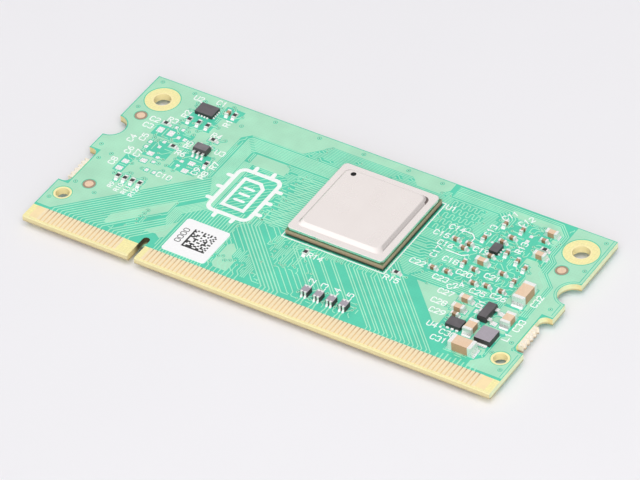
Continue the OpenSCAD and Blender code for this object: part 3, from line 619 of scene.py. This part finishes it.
def put_via(x, y, r=PLAIN_VIA):
    gap.disc((x, y), r + 0.1, 14)
    via.disc((x, y), r, 14)
    drill.disc((x, y), r * 0.45, 10)


def bundle(film, route, count, pitch, width):
    """Several traces side by side along one route."""
    for i in range(count):
        film.line(offset(route, ((count - 1) / 2 - i) * pitch), width)


def meander(x0, x1, y, swing, pitch):
    """A length-matching trace that swings to and fro."""
    points, x, side, cut = [(x0, y - swing)], x0, 1, 0.12
    while x < x1:
        points += [(x, y + side * (swing - cut)), (x + cut, y + side * swing),
                   (x + pitch - cut, y + side * swing), (x + pitch, y + side * (swing - cut))]
        x, side = x + pitch, -side
    trace.line(points, 0.14)


# The pours' outline along the left end, from the back edge to the contacts
LEFT_END = ([(0.15, EDGE), (0.15, 22.2)] + circle((0, 20), 2.15, 14, 82, -164)
            + [(0.15, 17.8), (0.15, 15.2), (1.6, 15.2), (1.6, 7.8), (0.15, 7.8), (0.15, POUR_FOOT)])
# The pours inside the board
INNER_POURS_LEFT = (
    [(10.3, 3.9), (15.7, 9.3), (15.7, 11.6), (9.6, 5.5), (9.6, 3.9)],
    [(14.9, 4.2), (15.3, 4.9), (16.6, 5.1), (17.4, 4.6), (18, 5.2), (18, 8.4), (17.2, 7.4), (15.2, 5.4)],
    [(19.6, 21.9), (24.8, 21.9), (24.8, 23.3), (24.2, 23.9), (19.6, 23.9)],
)
INNER_POURS_RIGHT = (
    [(49.5, 13.3), (58.3, 13.3), (58.3, 9.8), (55.9, 9.8), (55.9, 7.7), (55.1, 7.7)],
    [(58.7, 4.1), (61.9, 4.1), (63.3, 5.5), (63.3, 9.4), (60.8, 9.4), (60.2, 8.8), (60.2, 7), (58.7, 7)],
    [(60.9, 9.8), (63.8, 9.8), (63.8, 14.3), (61.2, 14.3), (61.2, 11.6), (60.9, 11.3)],
    [(59.3, 23.1), (60.9, 23.1), (64.2, 19.8), (64.2, 14.8), (61, 14.8), (61, 20), (60.2, 20.8),
     (60.2, 22.2), (59.3, 22.2)],
    [(53.6, 30.1), (60, 30.1), (61.2, 28.9), (61.2, 26.4), (60.4, 26.4), (60.4, 28.2), (58.4, 28.2),
     (57.6, 29), (53.6, 29)],
    [(26.2, 3.4), (28.1, 3.4), (28.1, 5.2), (27.2, 6.1), (27.2, 7.2), (26.2, 8.2), (25.6, 7.6), (25.6, 4)],
)
# Where the pour on the left is open for traces
PATCHES = (
    [(6.6, 16.9), (9.9, 17.3), (9.9, 19.4), (8.9, 20.4), (7.4, 20.4), (6.6, 19.6)],
    rectangle(7.6, 24.4, 11.9, 27.5),
    [(5.3, 20.9), (9.4, 20.9), (10.8, 22.3), (10.8, 23), (5.3, 23)],
    [(10.9, 16.4), (14.4, 16.4), (15.3, 17.3), (15.3, 20.6), (10.9, 20.6)],
    rectangle(4.9, 12.8, 6.3, 16.2),
    rectangle(11.2, 27.7, 13.9, 30),
)
# Where the laminate between the pairs stays free of fine traces
PLAIN = [(46, 3), (60, 3), (60.4, 4), (50.4, 13.6), (45.6, 13.6), (45.6, 11.6), (38.2, 11.3), (36, 10),
         (39.6, 6), (46.3, 6)]


def draw_pours():
    # Left: from the contacts to the back edge, then along that edge
    pour.area([(2.2, POUR_FOOT), (15.15, 15.9), (15.95, 16.7), (15.95, 25.7), (17, 26.75), (24.6, 26.75),
               (27.4, 29.55), (39.2, 29.55), (40.3, 28.45), (43.6, 28.45), (44.6, 29.45), (44.6, EDGE)]
              + LEFT_END, ring_holes(RINGS, 0, 10))
    for outline in INNER_POURS_LEFT:
        pour.area(outline)
    for outline in PATCHES:
        opening.area(outline)
    # Right: round the holes and the notch, with a thin clear line inside the board's outline
    x, recess, inside = 67.52, 66.0, 67.17
    pour.area([(x, 22.2), (x, EDGE), (62.1, EDGE), (62.1, 24.95), (63, 24.05), (63, 21.75), (64.9, 19.85),
               (64.9, 13), (64.2, 12.3), (64.2, 9.6), (63.8, 9.2), (63.8, 5.2), (62.6, 4), (62.6, POUR_FOOT),
               (x, POUR_FOOT), (x, 7.8), (recess, 7.8), (recess, 15.2), (x, 15.2), (x, 17.8)]
              + circle((LENGTH, 20), 2.1, 14, 98, 164)[::-1], ring_holes(RINGS, 60, 68))
    gap.line([(inside, 3), (inside, 7.5)], 0.1)
    gap.line([(inside, 15.5), (inside, 17.7)] + circle((LENGTH, 20), 2.35, 12, 260, -160)
             + [(inside, 22.4), (inside, EDGE)], 0.1)
    for outline in INNER_POURS_RIGHT:
        pour.area(outline)


def draw_traces():
    # Diagonal bundle from the first contacts to the lanes beside the emblem, then across to the processor
    for i in range(9):
        x, lane, turn = 2.75 + PITCH * i, 17 + 0.21 * i, 26.3 - 0.25 * i
        trace.line([(x, FOOT), (x, 3.1), (lane, 3.1 + lane - x), (lane, turn - 0.4), (lane + 0.4, turn),
                    (CHIP_LEFT, turn)], SMALL)
    for i in range(4):
        x, reach = 8.15 + PITCH * i, 5.2 - 0.7 * i
        trace.line([(x, FOOT), (x, 3.1), (x + reach, 3.1 + reach)], SMALL)
        put_via(x + reach, 3.1 + reach)
    for i in range(6):
        x, lane, far = 11.15 + PITCH * i, 16.15 + 0.24 * i, 18.95 + 0.22 * i
        top = 10.4 - 0.12 * i
        trace.line([(x, FOOT), (x, 3.1), (lane, 3.1 + lane - x), (lane, top), (far, top + far - lane),
                    (far, 22)], SMALL)
    # Lines over the label and along the emblem's foot
    for i in range(17):
        x, top = 17.95 + 0.42 * i, 11.4 + 0.4 * math.sin(i / 5)
        trace.line([(x, FOOT), (x, top), (x + 0.5, top + 0.5)], THIN)
    # Rows that enter the processor from the left
    for i in range(26):
        y, start = 13.6 + 0.37 * i, 26.3 + 1.6 * ((i * 7) % 5) / 5
        jog = 28.2 + 0.25 * (i % 4)
        trace.line([(start, y), (jog, y), (jog + 0.12, y + 0.12), (CHIP_LEFT, y + 0.12)], WIDE)
        if i % 3 == 0:
            put_via(start, y, SMALL_VIA)
    # Diagonals from the emblem down to the contacts
    for i in range(5):
        x = 33.35 + PITCH * i
        trace.line([(x, FOOT), (x, 3.2), (x - 8.9, 12.1), (x - 8.9, 13.4 + 0.5 * i)], SMALL)
    for i in range(8):
        x, bend, top = 25.55 + PITCH * i, 3.4 + 0.2 * (i % 3), 5 + 0.3 * (i % 3)
        trace.line([(x, FOOT), (x, bend), (x - 0.5, bend + 0.5), (x - 0.5, top)], THIN)
        put_via(x - 0.5, top, SMALL_VIA)
    bundle(trace, [(33.4, 7.9), (33.4, 11.2), (34.5, 12.3)], 3, 0.32, THIN)
    bundle(trace, [(34.9, 8.4), (34.9, 11.4), (35.8, 12.3)], 2, 0.32, THIN)
    for x, y in ((33.1, 7.8), (33.5, 7.6), (33.9, 7.8), (34.8, 8.2), (35.2, 8), (31.4, 9.4), (37.6, 8),
                 (32.2, 10.8), (31, 6.9)):
        put_via(x, y, SMALL_VIA)
    # Pairs from the processor to the line filters, and on to the contacts
    for x0, y0, x1, y1 in loose_boxes("line_filter_bodies"):
        cx, cy = (x0 + x1) / 2, (y0 + y1) / 2
        for d in (-0.22, 0.22):
            x, y, bend = cx + d, cy + 0.75, 11.2
            end = x - (bend - y)
            trace.line([(x, cy), (x, y), (end, bend), (end, CHIP_FRONT)], THIN)
            trace.line([(x, cy), (x, 3.2), (cx + d * 1.36, 2.9), (cx + d * 1.36, FOOT)], SMALL)
    # Pairs that pass the filters
    for k in range(8):
        x = 48.95 + 2 * PITCH * k
        for s, (dx, foot) in enumerate(((-0.3, 3.1), (0.3, 2.95))):
            c = x + dx + foot
            level, bend = 12.9 + 0.62 * max(0, k - 3) + 0.3 * s, 11.5 - 0.12 * k
            if c - bend < 45.2:
                high = [(c - bend, bend), (c - bend, CHIP_FRONT)]
            else:
                high = [(c - level, level), (CHIP_RIGHT, level)]
            trace.line([(x + dx, FOOT), (x + dx, foot)] + high, THIN)
    for i in range(6):
        y = 13.75 + 0.3 * i
        trace.line([(48.4 + 0.3 * i, y), (58.2 - 0.5 * i, y)], THIN)
    # Rows that leave the processor on the right
    for i in range(10):
        y, reach = 16.4 + 0.42 * i, 46.9 + 0.35 * ((i * 3) % 4)
        trace.line([(CHIP_RIGHT, y), (reach, y), (reach + 0.4, y + 0.4), (48.6, y + 0.4)], THIN)
        if i % 2:
            put_via(48.6, y + 0.4, SMALL_VIA)
    for i in range(5):
        meander(46.1 + 0.3 * (i % 2), 50.2 + 0.5 * (i % 2), 22.9 + 1.2 * i, 0.42, 0.46)
    for i in range(5):
        y, x = 28.75 + 0.24 * i, 52.2 + 0.3 * i
        trace.line([(CHIP_RIGHT, y), (x, y), (x + 1.1, y - 1.1), (x + 1.1, 25.6 + 0.3 * i)], THIN)
    # Lines that follow the back edge and the right-hand end
    for i in range(4):
        d = 0.27 * i
        turns = ((61.85, 28.95), (61.85, 24.95), (62.75, 24.05), (62.75, 21.75), (64.65, 19.85))
        trace.line([(CHIP_RIGHT, 30.6 - d), (60.2 - 0.4 * d, 30.6 - d)]
                   + [(x - d, y - 0.4 * d) for x, y in turns] + [(64.65 - d, 13.6)], THIN)
    for i in range(10):
        x = 58.55 + PITCH * i
        trace.line([(x, FOOT), (x, 3.3 + 0.18 * (i % 3))], SMALL)


def draw_stubs(pads):
    """A clear rim round every land, and a short trace with a via from most of them."""
    rim, near, off_edge = 0.13, 0.4, 0.8
    chip = (30.2, 12, 45.8, 27.2)

    def free(x, y):
        if not (off_edge < x < LENGTH - off_edge and 3.4 < y < WIDTH - off_edge):
            return False
        if chip[0] < x < chip[2] and chip[1] < y < chip[3]:
            return False
        if any(math.dist((x, y), c) < r + 0.45 for c, r in RINGS + CUTS):
            return False
        return not any(b[0] - near < x < b[2] + near and b[1] - near < y < b[3] + near for b in pads)

    for x0, y0, x1, y1 in pads:
        gap.area(rectangle(x0 - rim, y0 - rim, x1 + rim, y1 + rim))
        cx, cy = (x0 + x1) / 2, (y0 + y1) / 2
        for _ in range(8):
            a, d = math.radians(45 * rng.randrange(8)), rng.uniform(0.7, 1.25)
            x, y = cx + d * math.cos(a), cy + d * math.sin(a)
            if free(x, y):
                out = 0.9 * min((x1 - x0) / 2 / max(1e-6, abs(x - cx)),
                                (y1 - y0) / 2 / max(1e-6, abs(y - cy)))
                start = (cx + out * (x - cx), cy + out * (y - cy))
                gap.line([start, (x, y)], 0.38)
                trace.line([start, (x, y)], 0.18)
                put_via(x, y, 0.2)
                break


STITCHES = (
    (1, 16.2), (1, 24.6), (2.2, 13.8), (2.2, 8.6), (6, 30.2), (1.1, 30.2), (12, 30.2), (18.2, 30.3),
    (24.8, 30.3), (31.4, 30.3), (38, 30.3), (43, 30.2), (66.5, 16.4), (66.7, 24.4), (66.5, 30.1), (65.4, 9),
    (64.2, 6.4), (0.9, 4.6), (66.6, 4.2), (8.6, 20.9), (10.4, 23.2), (14.8, 27.6), (12.4, 14.4), (10.6, 16.6),
    (3.2, 15.2), (5.5, 7.9),
)


def draw_stitching():
    """Vias that tie the pours together."""
    for x, y in STITCHES:
        put_via(x, y, 0.21)


# Fine traces that fill the laminate left between the planned ones

WAYS = ((1, 0), (1, 1), (0, 1), (-1, 1), (-1, 0), (-1, -1), (0, -1), (1, -1))
# Boxes with the way that most traces take there, as an index into WAYS
FLOWS = (
    ((16, 4, 19.4, 25), 2), ((18, 21.5, 31, 30), 0), ((25.5, 19, 31, 22), 0), ((19, 12, 26, 21.5), 1),
    ((26, 15, 31, 19), 0), ((31, 26.5, 45, 31), 0), ((24, 12, 31, 15), 3), ((30, 9.4, 46, 12.4), 2),
    ((24, 3, 31, 8), 2), ((24, 3, 60, 12.6), 3), ((45, 13, 53, 28), 0), ((45, 28, 61, 31), 0),
    ((60, 13, 66, 30), 2),
)


class Router:
    """A grid of free cells over the top face, on which thin traces run side by side."""

    def __init__(self, pitch, seed):
        self.pitch, self.rng = pitch, random.Random(seed)
        self.nx, self.ny = int(LENGTH / pitch), int(WIDTH / pitch)
        self.taken = bytearray(self.nx * self.ny)
        for i in range(self.nx):
            for j in range(self.ny):
                x, y = self.centre(i, j)
                if not (0.7 < x < LENGTH - 0.7 and 3.2 < y < WIDTH - 0.45):
                    self.mark(i, j)

    def centre(self, i, j):
        return (i + 0.5) * self.pitch, (j + 0.5) * self.pitch

    def mark(self, i, j, value=1):
        if 0 <= i < self.nx and 0 <= j < self.ny:
            self.taken[i * self.ny + j] = value

    def free(self, i, j):
        return 0 <= i < self.nx and 0 <= j < self.ny and not self.taken[i * self.ny + j]

    def block_box(self, x0, y0, x1, y1, margin=0.0):
        for i in range(int((x0 - margin) / self.pitch), int((x1 + margin) / self.pitch) + 1):
            for j in range(int((y0 - margin) / self.pitch), int((y1 + margin) / self.pitch) + 1):
                self.mark(i, j)

    def block_disc(self, centre, r):
        reach = int(r / self.pitch) + 1
        ci, cj = int(centre[0] / self.pitch), int(centre[1] / self.pitch)
        for i in range(ci - reach, ci + reach + 1):
            for j in range(cj - reach, cj + reach + 1):
                if math.dist(self.centre(i, j), centre) < r:
                    self.mark(i, j)

    def block_line(self, points, reach):
        for a, b in zip(points, points[1:]):
            steps = int(math.dist(a, b) / (self.pitch / 2)) + 1
            for k in range(steps + 1):
                t = k / steps
                self.block_disc((a[0] + (b[0] - a[0]) * t, a[1] + (b[1] - a[1]) * t), reach)

    def fill_outline(self, points, value):
        """Mark the cells inside an outline, row by row."""
        for j in range(self.ny):
            y = (j + 0.5) * self.pitch
            cuts = sorted(a[0] + (b[0] - a[0]) * (y - a[1]) / (b[1] - a[1])
                          for a, b in zip(points, points[1:] + points[:1]) if (a[1] > y) != (b[1] > y))
            for x0, x1 in zip(cuts[::2], cuts[1::2]):
                for i in range(int(x0 / self.pitch + 0.5), int(x1 / self.pitch + 0.5)):
                    self.mark(i, j, value)

    def way(self, x, y):
        for (x0, y0, x1, y1), way in FLOWS:
            if x0 <= x < x1 and y0 <= y < y1:
                return way
        return self.rng.randrange(4)

    def walk(self, i, j, way):
        """Cells of one trace from a start, which keeps to the local way and bends round what is there."""
        cells = []
        for _ in range(self.rng.randrange(10, 70)):
            want = self.way(*self.centre(i, j))
            if (want - way) % 8 in (3, 4, 5):
                want = (want + 4) % 8
            lean = 1 if (want - way) % 8 in (1, 2, 3) else -1
            turns = [0, lean, -lean]
            if want != way and self.rng.random() < 0.5 or self.rng.random() < 0.03:
                turns = [lean, 0, -lean]
            for turn in turns:
                dx, dy = WAYS[(way + turn) % 8]
                clear = self.free(i + dx, j + dy)
                if dx and dy:
                    clear = clear and self.free(i + dx, j) and self.free(i, j + dy)
                if clear:
                    if dx and dy:
                        self.mark(i + dx, j)
                        self.mark(i, j + dy)
                    i, j, way = i + dx, j + dy, (way + turn) % 8
                    self.mark(i, j)
                    cells.append((i, j))
                    break
            else:
                break
        return cells

    def run(self):
        starts = [(i, j) for i in range(self.nx) for j in range(self.ny)]
        self.rng.shuffle(starts)
        for i, j in starts:
            if not self.free(i, j):
                continue
            self.mark(i, j)
            way = self.way(*self.centre(i, j))
            cells = self.walk(i, j, (way + 4) % 8)[::-1] + [(i, j)] + self.walk(i, j, way)
            if len(cells) < 4:
                continue
            points = [self.centre(*cells[0])]
            for a, b, c in zip(cells, cells[1:], cells[2:]):
                if (b[0] - a[0], b[1] - a[1]) != (c[0] - b[0], c[1] - b[1]):
                    points.append(self.centre(*b))
            points.append(self.centre(*cells[-1]))
            fine.line(points, FINE)
            for end in (points[0], points[-1]):
                if self.rng.random() < 0.2:
                    put_via(*end, TINY_VIA)


def draw_fine(pads):
    router, clear = Router(0.25, 11), 0.2
    for outline in pour.outlines:
        router.fill_outline(outline, 1)
    for outline in PATCHES:
        router.fill_outline(outline, 0)
    router.fill_outline(PLAIN, 1)
    for box in pads:
        router.block_box(*box, clear)
    for path in trace.paths + gap.paths:
        router.block_line(path, clear)
    for centre, r in via.discs:
        router.block_disc(centre, r + clear)
    for centre, r in RINGS + CUTS:
        router.block_disc(centre, r + 0.15)
    for name, margin in (("processor_substrate", 0.1), ("label", -0.2)):
        router.block_box(*layout_box(name), margin)
    router.run()


# Screen print: outlines, an emblem and plain part numbers in a stroke font

# Strokes of each letter, as points on a grid of 4 by 6
GLYPHS = {
    "0": "1,0 3,0 4,1 4,5 3,6 1,6 0,5 0,1 1,0",
    "1": "0.8,4.8 2,6 2,0",
    "2": "0,5 1,6 3,6 4,5 4,4 0,0 4,0",
    "3": "0,5.4 0.8,6 3.2,6 4,5.2 4,3.9 3.2,3.2 4,2.4 4,0.8 3.2,0 0.8,0 0,0.7",
    "4": "3,0 3,6 0,2 4,2",
    "5": "4,6 0.4,6 0,3.4 1,3.8 3,3.8 4,2.9 4,1 3,0 1,0 0,0.8",
    "6": "3.6,6 1.6,5.2 0,3 0,1 1,0 3,0 4,1 4,2.4 3,3.4 1,3.4 0,2.6",
    "7": "0,6 4,6 1.4,0",
    "8": "1,3.2 0,4.1 0,5.2 1,6 3,6 4,5.2 4,4.1 3,3.2 1,3.2 0,2.2 0,0.9 1,0 3,0 4,0.9 4,2.2 3,3.2",
    "9": "0.4,0 2.4,0.8 4,3 4,5 3,6 1,6 0,5 0,3.6 1,2.6 3,2.6 4,3.4",
    "C": "4,1 3,0 1,0 0,1 0,5 1,6 3,6 4,5",
    "R": "0,0 0,6 3,6 4,5.2 4,3.8 3,3 0,3; 2,3 4,0",
    "L": "0,6 0,0 4,0",
    "U": "0,6 0,1 1,0 3,0 4,1 4,6",
    "Q": "1,0 3,0 4,1 4,5 3,6 1,6 0,5 0,1 1,0; 2.4,1.8 4.2,-0.4",
}


def write(film, text, x, y, angle=0, height=0.8, stroke=0.14):
    """Plain letters and numbers centred on a point."""
    k, step = height / 6, 5.6
    width = (len(text) * step - 1.6) * k
    c, s = math.cos(math.radians(angle)), math.sin(math.radians(angle))
    for i, letter in enumerate(text):
        for line in GLYPHS[letter].split(";"):
            points = []
            for pair in line.split():
                u, v = map(float, pair.split(","))
                px, py = (i * step + u) * k - width / 2, (v - 3) * k
                points.append((x + px * c - py * s, y + px * s + py * c))
            film.line(points, stroke, cap=True)


# Part numbers with their places, and their angles where they aren't level
NUMBERS = """
    U2 7.1 29.6; C1 10.2 30.15; R1 13 27.2 90; R2 7.3 26.3 90; R3 6.5 24.4; R4 13.1 24.4; C2 4.35 23.5;
    C3 4.2 22.1; U3 15.3 21.8; R5 10.85 21.3 90; R6 10.9 19.4; R7 16 19.4 90; C4 3.75 19 90; C5 5 19.9 90;
    C6 4.75 16.9 90; C7 6.1 16.9 90; C8 4.1 14.2 90; C9 14.5 17.4 90; R8 15.75 17.2 90; C10 11.5 14.7;
    R14 36.4 10.8; R15 46.7 11.9; U1 46.4 26.7; C11 53.6 28.9 60; C12 55.9 28.9 60; C13 52.8 25.4 90;
    C14 49 23.8; C15 47.8 22; C16 49.2 20.6; C17 48.9 18.9 90; C18 51.3 18.3; C19 53.7 21.6; C20 54 17;
    C21 57.4 18; R13 57.8 24.4 90; C22 47.9 16.1; C23 51.9 14.9; C24 54.2 14.6 40; C25 57.2 14.8;
    C26 59.9 15.2; C27 53.8 13; C28 53.9 11.2; C29 54.6 9.6; U4 55.3 7.3; C30 57.75 6.75; C31 57.3 5.4;
    C32 64.4 16.8 90; C33 64.7 12 90; L1 64.4 9.6 90; Q1 58.6 13.2 90; L2 38.4 6.6 90; L3 40.2 6.6 90;
    L4 42 6.6 90; L5 43.9 6.6 90
"""


def draw_emblem(cx, cy):
    """A plain chip pictogram."""
    half, tall, r, pin, stroke = 3.0, 4.2, 0.9, 0.9, 0.58
    outline = []
    for turn, (sx, sy) in enumerate(((1, 1), (-1, 1), (-1, -1), (1, -1))):
        outline += circle((cx + sx * (half - r), cy + sy * (tall - r)), r, 6, 90 * turn, 90)
    screen.line(outline + outline[:2], stroke)
    for y in (cy - 2.4, cy, cy + 2.4):
        for side in (-1, 1):
            screen.line([(cx + side * half, y), (cx + side * (half + pin), y)], stroke, cap=True)
    die = [(-1.55, -2.7), (1.55, -2.7), (1.55, 1.9), (0.75, 2.7), (-1.55, 2.7)]
    die = [(cx + x, cy + y) for x, y in die]
    screen.line(die + die[:2], 0.5)
    for y in (cy - 1.2, cy, cy + 1.2):
        screen.line([(cx - 0.65, y), (cx + 0.65, y)], 0.4, cap=True)
    for x in (cx - 1.3, cx + 1.3):
        for side in (-1, 1):
            screen.line([(x, cy + side * tall), (x, cy + side * (tall + pin))], stroke, cap=True)


def draw_screen():
    x0, y0, x1, y1 = layout_box("processor_substrate", 0.36)
    screen.line([(x0, y1 - 2), (x0, y0), (x1, y0), (x1, y1), (x0 + 2, y1), (x0, y1 - 2)], 0.15, cap=True)
    for entry in NUMBERS.split(";"):
        text, *place = entry.split()
        write(screen, text, *map(float, place))
    for i, text in enumerate(("R9", "R10", "R11", "R12")):
        write(screen, text, 6.5 + 1.1 * i, 10.2, 90, 0.58, 0.12)
    for points in ([(50, 23.8), (51.2, 23.8), (51.8, 23.2), (51.8, 22.5)],
                   [(49.8, 19.7), (52.1, 19.7), (52.7, 20.2)]):
        screen.line(points, 0.16, cap=True)
    draw_emblem(22.35, 16.5)
    # Pin marks beside the small chips
    for x, y in ((7.75, 29.1), (11.8, 22.1), (54.1, 23.6), (56.4, 7.35)):
        screen.disc((x, y), 0.17, 12)


def draw_label():
    """A meaningless pattern of cells and a row of noughts."""
    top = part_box("label")[1][2] / MM - TOP
    ink = Film("label_print", ink_black, top + 0.006, top)
    cell, x0, y0, n = 0.24, 20.6, 4.7, 14
    for i in range(n):
        for j in range(n):
            edge = i == 0 or j == 0
            timing = (i == n - 1 and j % 2 == 0) or (j == n - 1 and i % 2 == 0)
            inside = 0 < i < n - 1 and 0 < j < n - 1 and rng.random() < 0.42
            if edge or timing or inside:
                x, y = x0 + i * cell, y0 + j * cell
                ink.area(rectangle(x, y, x + cell, y + cell))
    write(ink, "0000", 19.7, 6.4, 90, 0.75, 0.1)
    ink.done("label_paper")


def draw_marks():
    """The bare gaps round the alignment marks, and the darker laminate between the contacts, partly painted
    shade.
    """
    moat = Film("alignment_gaps", bare_moat, -0.02, -0.03)
    for centre, _ in RINGS[4:]:
        moat.ring(centre, 0.705, 0.29, 28)
    moat.done("laminate")
    ends = Film("contact_strip_ends", end_tint, -0.026, -0.03)
    for x0, x1 in ((0.75, 1.93), (65.37, 66.7)):
        ends.area(rectangle(x0, 0.35, x1, 2.6))
    ends.done("laminate")
    for name, row, below in (("contact_strip_gaps", "contacts_top", False),
                             ("under_strip_gaps", "contacts_bottom", True)):
        film, boxes = Film(name, strip_tint, -0.024, -0.03, below), loose_boxes(row)
        for a, b in zip(boxes, boxes[1:]):
            if b[0] - a[2] < PITCH / 2:
                film.area(rectangle(a[2], a[1], b[0], a[3]))
        film.done("laminate")


def draw_shade():
    """Painted shade: a dark sheet on the mask under the processor, which shows in the gap beneath it."""
    film = Film("shade_under_processor", painted_gap_shade, layer(7))
    film.area(rectangle(*layout_box("processor_substrate", 0.1)))
    film.done("mask")


# Bundles on the underside, with how many traces each has
UNDER_ROUTES = (
    ([(8, 2.5), (8, 4), (12, 8), (12, 10)], 9), ([(22, 2.5), (22, 4.6), (26, 8.6), (26, 12), (30, 16)], 8),
    ([(36, 2.5), (36, 9)], 12), ([(46, 2.5), (46, 5), (42, 9), (42, 12)], 8),
    ([(55, 2.5), (55, 6), (50, 11), (46, 11)], 8), ([(24, 20), (31, 20)], 10),
    ([(24.5, 26), (32, 26), (34, 24)], 6), ([(45, 26.5), (52, 26.5), (56, 22.5), (60, 22.5)], 6),
)
# Boxes round the parts on the underside, where no via goes
UNDER_PARTS = ((11, 10.5, 24, 24.7), (31.4, 12.5, 44.6, 25.3), (45, 9.6, 61, 24.5), (31, 0, 45, 12.4),
               (25, 0, 30, 24))


def draw_underside():
    looks = (("under_pour", mint), ("under_clearance", mask), ("under_traces", mint),
             ("under_via_lands", mint), ("under_via_holes", via_hole), ("under_print", ink_white))
    films = [Film(name, look, layer(n), below=True) for n, (name, look) in enumerate(looks)]
    cover, space, lines, lands, holes, ink = films
    cover.area(rectangle(6, 3.2, 62, 30.6))
    end = [(6, POUR_FOOT), (6, EDGE)] + LEFT_END
    cover.area(end, ring_holes(RINGS[:4], 0, 10))
    cover.area([(LENGTH - x, y) for x, y in end], ring_holes(RINGS[:4], 60, 68))
    pitch = 0.34
    for route, count in UNDER_ROUTES:
        space.line(route, count * pitch + 0.3)
        bundle(lines, route, count, pitch, 0.15)
    for _ in range(90):
        x, y = rng.uniform(7, 61), rng.uniform(5, 30)
        if not any(x0 < x < x1 and y0 < y < y1 for x0, y0, x1, y1 in UNDER_PARTS):
            space.disc((x, y), 0.34, 14)
            lands.disc((x, y), 0.24, 14)
            holes.disc((x, y), 0.11, 10)
    for name in ("memory_package", "flash_package", "crystal_base"):
        x0, y0, x1, y1 = layout_box(name, 0.35)
        ink.line([(x0, y0), (x1, y0), (x1, y1), (x0 + 1.2, y1), (x0, y1 - 1.2), (x0, y0), (x0 + 0.1, y0)],
                 0.17)
    for film in films[:-1]:
        film.done("mask")
    ink.done("label_paper")


# Stage and light

def set_stage():
    mesh = bpy.data.meshes.new("floor")
    mesh.from_pydata([(-3, -3, 0), (3, -3, 0), (3, 3, 0), (-3, 3, 0)], [], [(0, 1, 2, 3)])
    s = Shader("floor_paper", (0.86, 0.85, 0.875), 0.8, Specular_IOR_Level=0.2)
    s.base(s.ramp(s.noise(0.02, 3.0), (0.3, (0.855, 0.846, 0.87)), (0.7, (0.87, 0.86, 0.885))))
    mesh.materials.append(s.material)
    floor = add_object("floor", mesh)


def add_softbox(name, direction, distance, size, power):
    data = bpy.data.lights.new(name, "AREA")
    data.shape = "SQUARE"
    data.size = size
    data.energy = power
    lamp = add_object(name, data)
    d = Vector(direction).normalized()
    lamp.location = d * distance
    lamp.rotation_euler = d.to_track_quat("Z", "Y").to_euler()
    lamp.visible_glossy = False


def set_light():
    world = bpy.data.worlds.new("studio")
    bpy.context.scene.world = world
    w = Tree(world)
    # What metal shows is brighter towards the front left, and dimmer low down at the back
    ray = w.add("TexCoord").outputs["Generated"]
    lean = w.add("VectorMath", ray, (-0.14, -0.22, 0.05), operation="DOT_PRODUCT").outputs["Value"]
    _, back, height = w.split(ray)
    low = w.math("SUBTRACT", 0.45, height, use_clamp=True)
    behind = w.math("MULTIPLY", back, 1.4, use_clamp=True)
    shine = w.minus(w.plus(lean, 1.0), w.times(low, behind))
    room = w.add("Background", (1, 0.99, 1), 0.34).outputs[0]
    shown = w.add("Background", (1, 0.99, 0.99), shine).outputs[0]
    plain = w.add("Background", (0.94, 0.935, 0.945)).outputs[0]
    path = w.add("LightPath").outputs
    mirrored = w.math("MAXIMUM", path["Is Glossy Ray"], path["Is Transmission Ray"])
    lit = w.add("MixShader", mirrored, room, shown).outputs[0]
    seen = w.add("MixShader", path["Is Camera Ray"], lit, plain).outputs[0]
    w.add("OutputWorld", seen)
    add_softbox("key", (0.27, -0.38, 0.885), 1.6, 1.4, 18.9)
    add_softbox("fill", (0.5, -0.7, 0.5), 1.6, 1.8, 10.5)
    bpy.context.scene.view_settings.view_transform = "Standard"


set_camera()
dress_nodes()
draw_pours()
draw_traces()
top_lands = loose_boxes("solder_joints_top") + loose_boxes("bare_lands")
draw_stubs(top_lands)
draw_stitching()
draw_fine(top_lands)
draw_screen()
draw_label()
draw_marks()
draw_shade()
draw_underside()
for film in (pour, opening, gap, fine, trace, via, drill):
    film.done("mask")
screen.done("label_paper")
set_stage()
set_light()
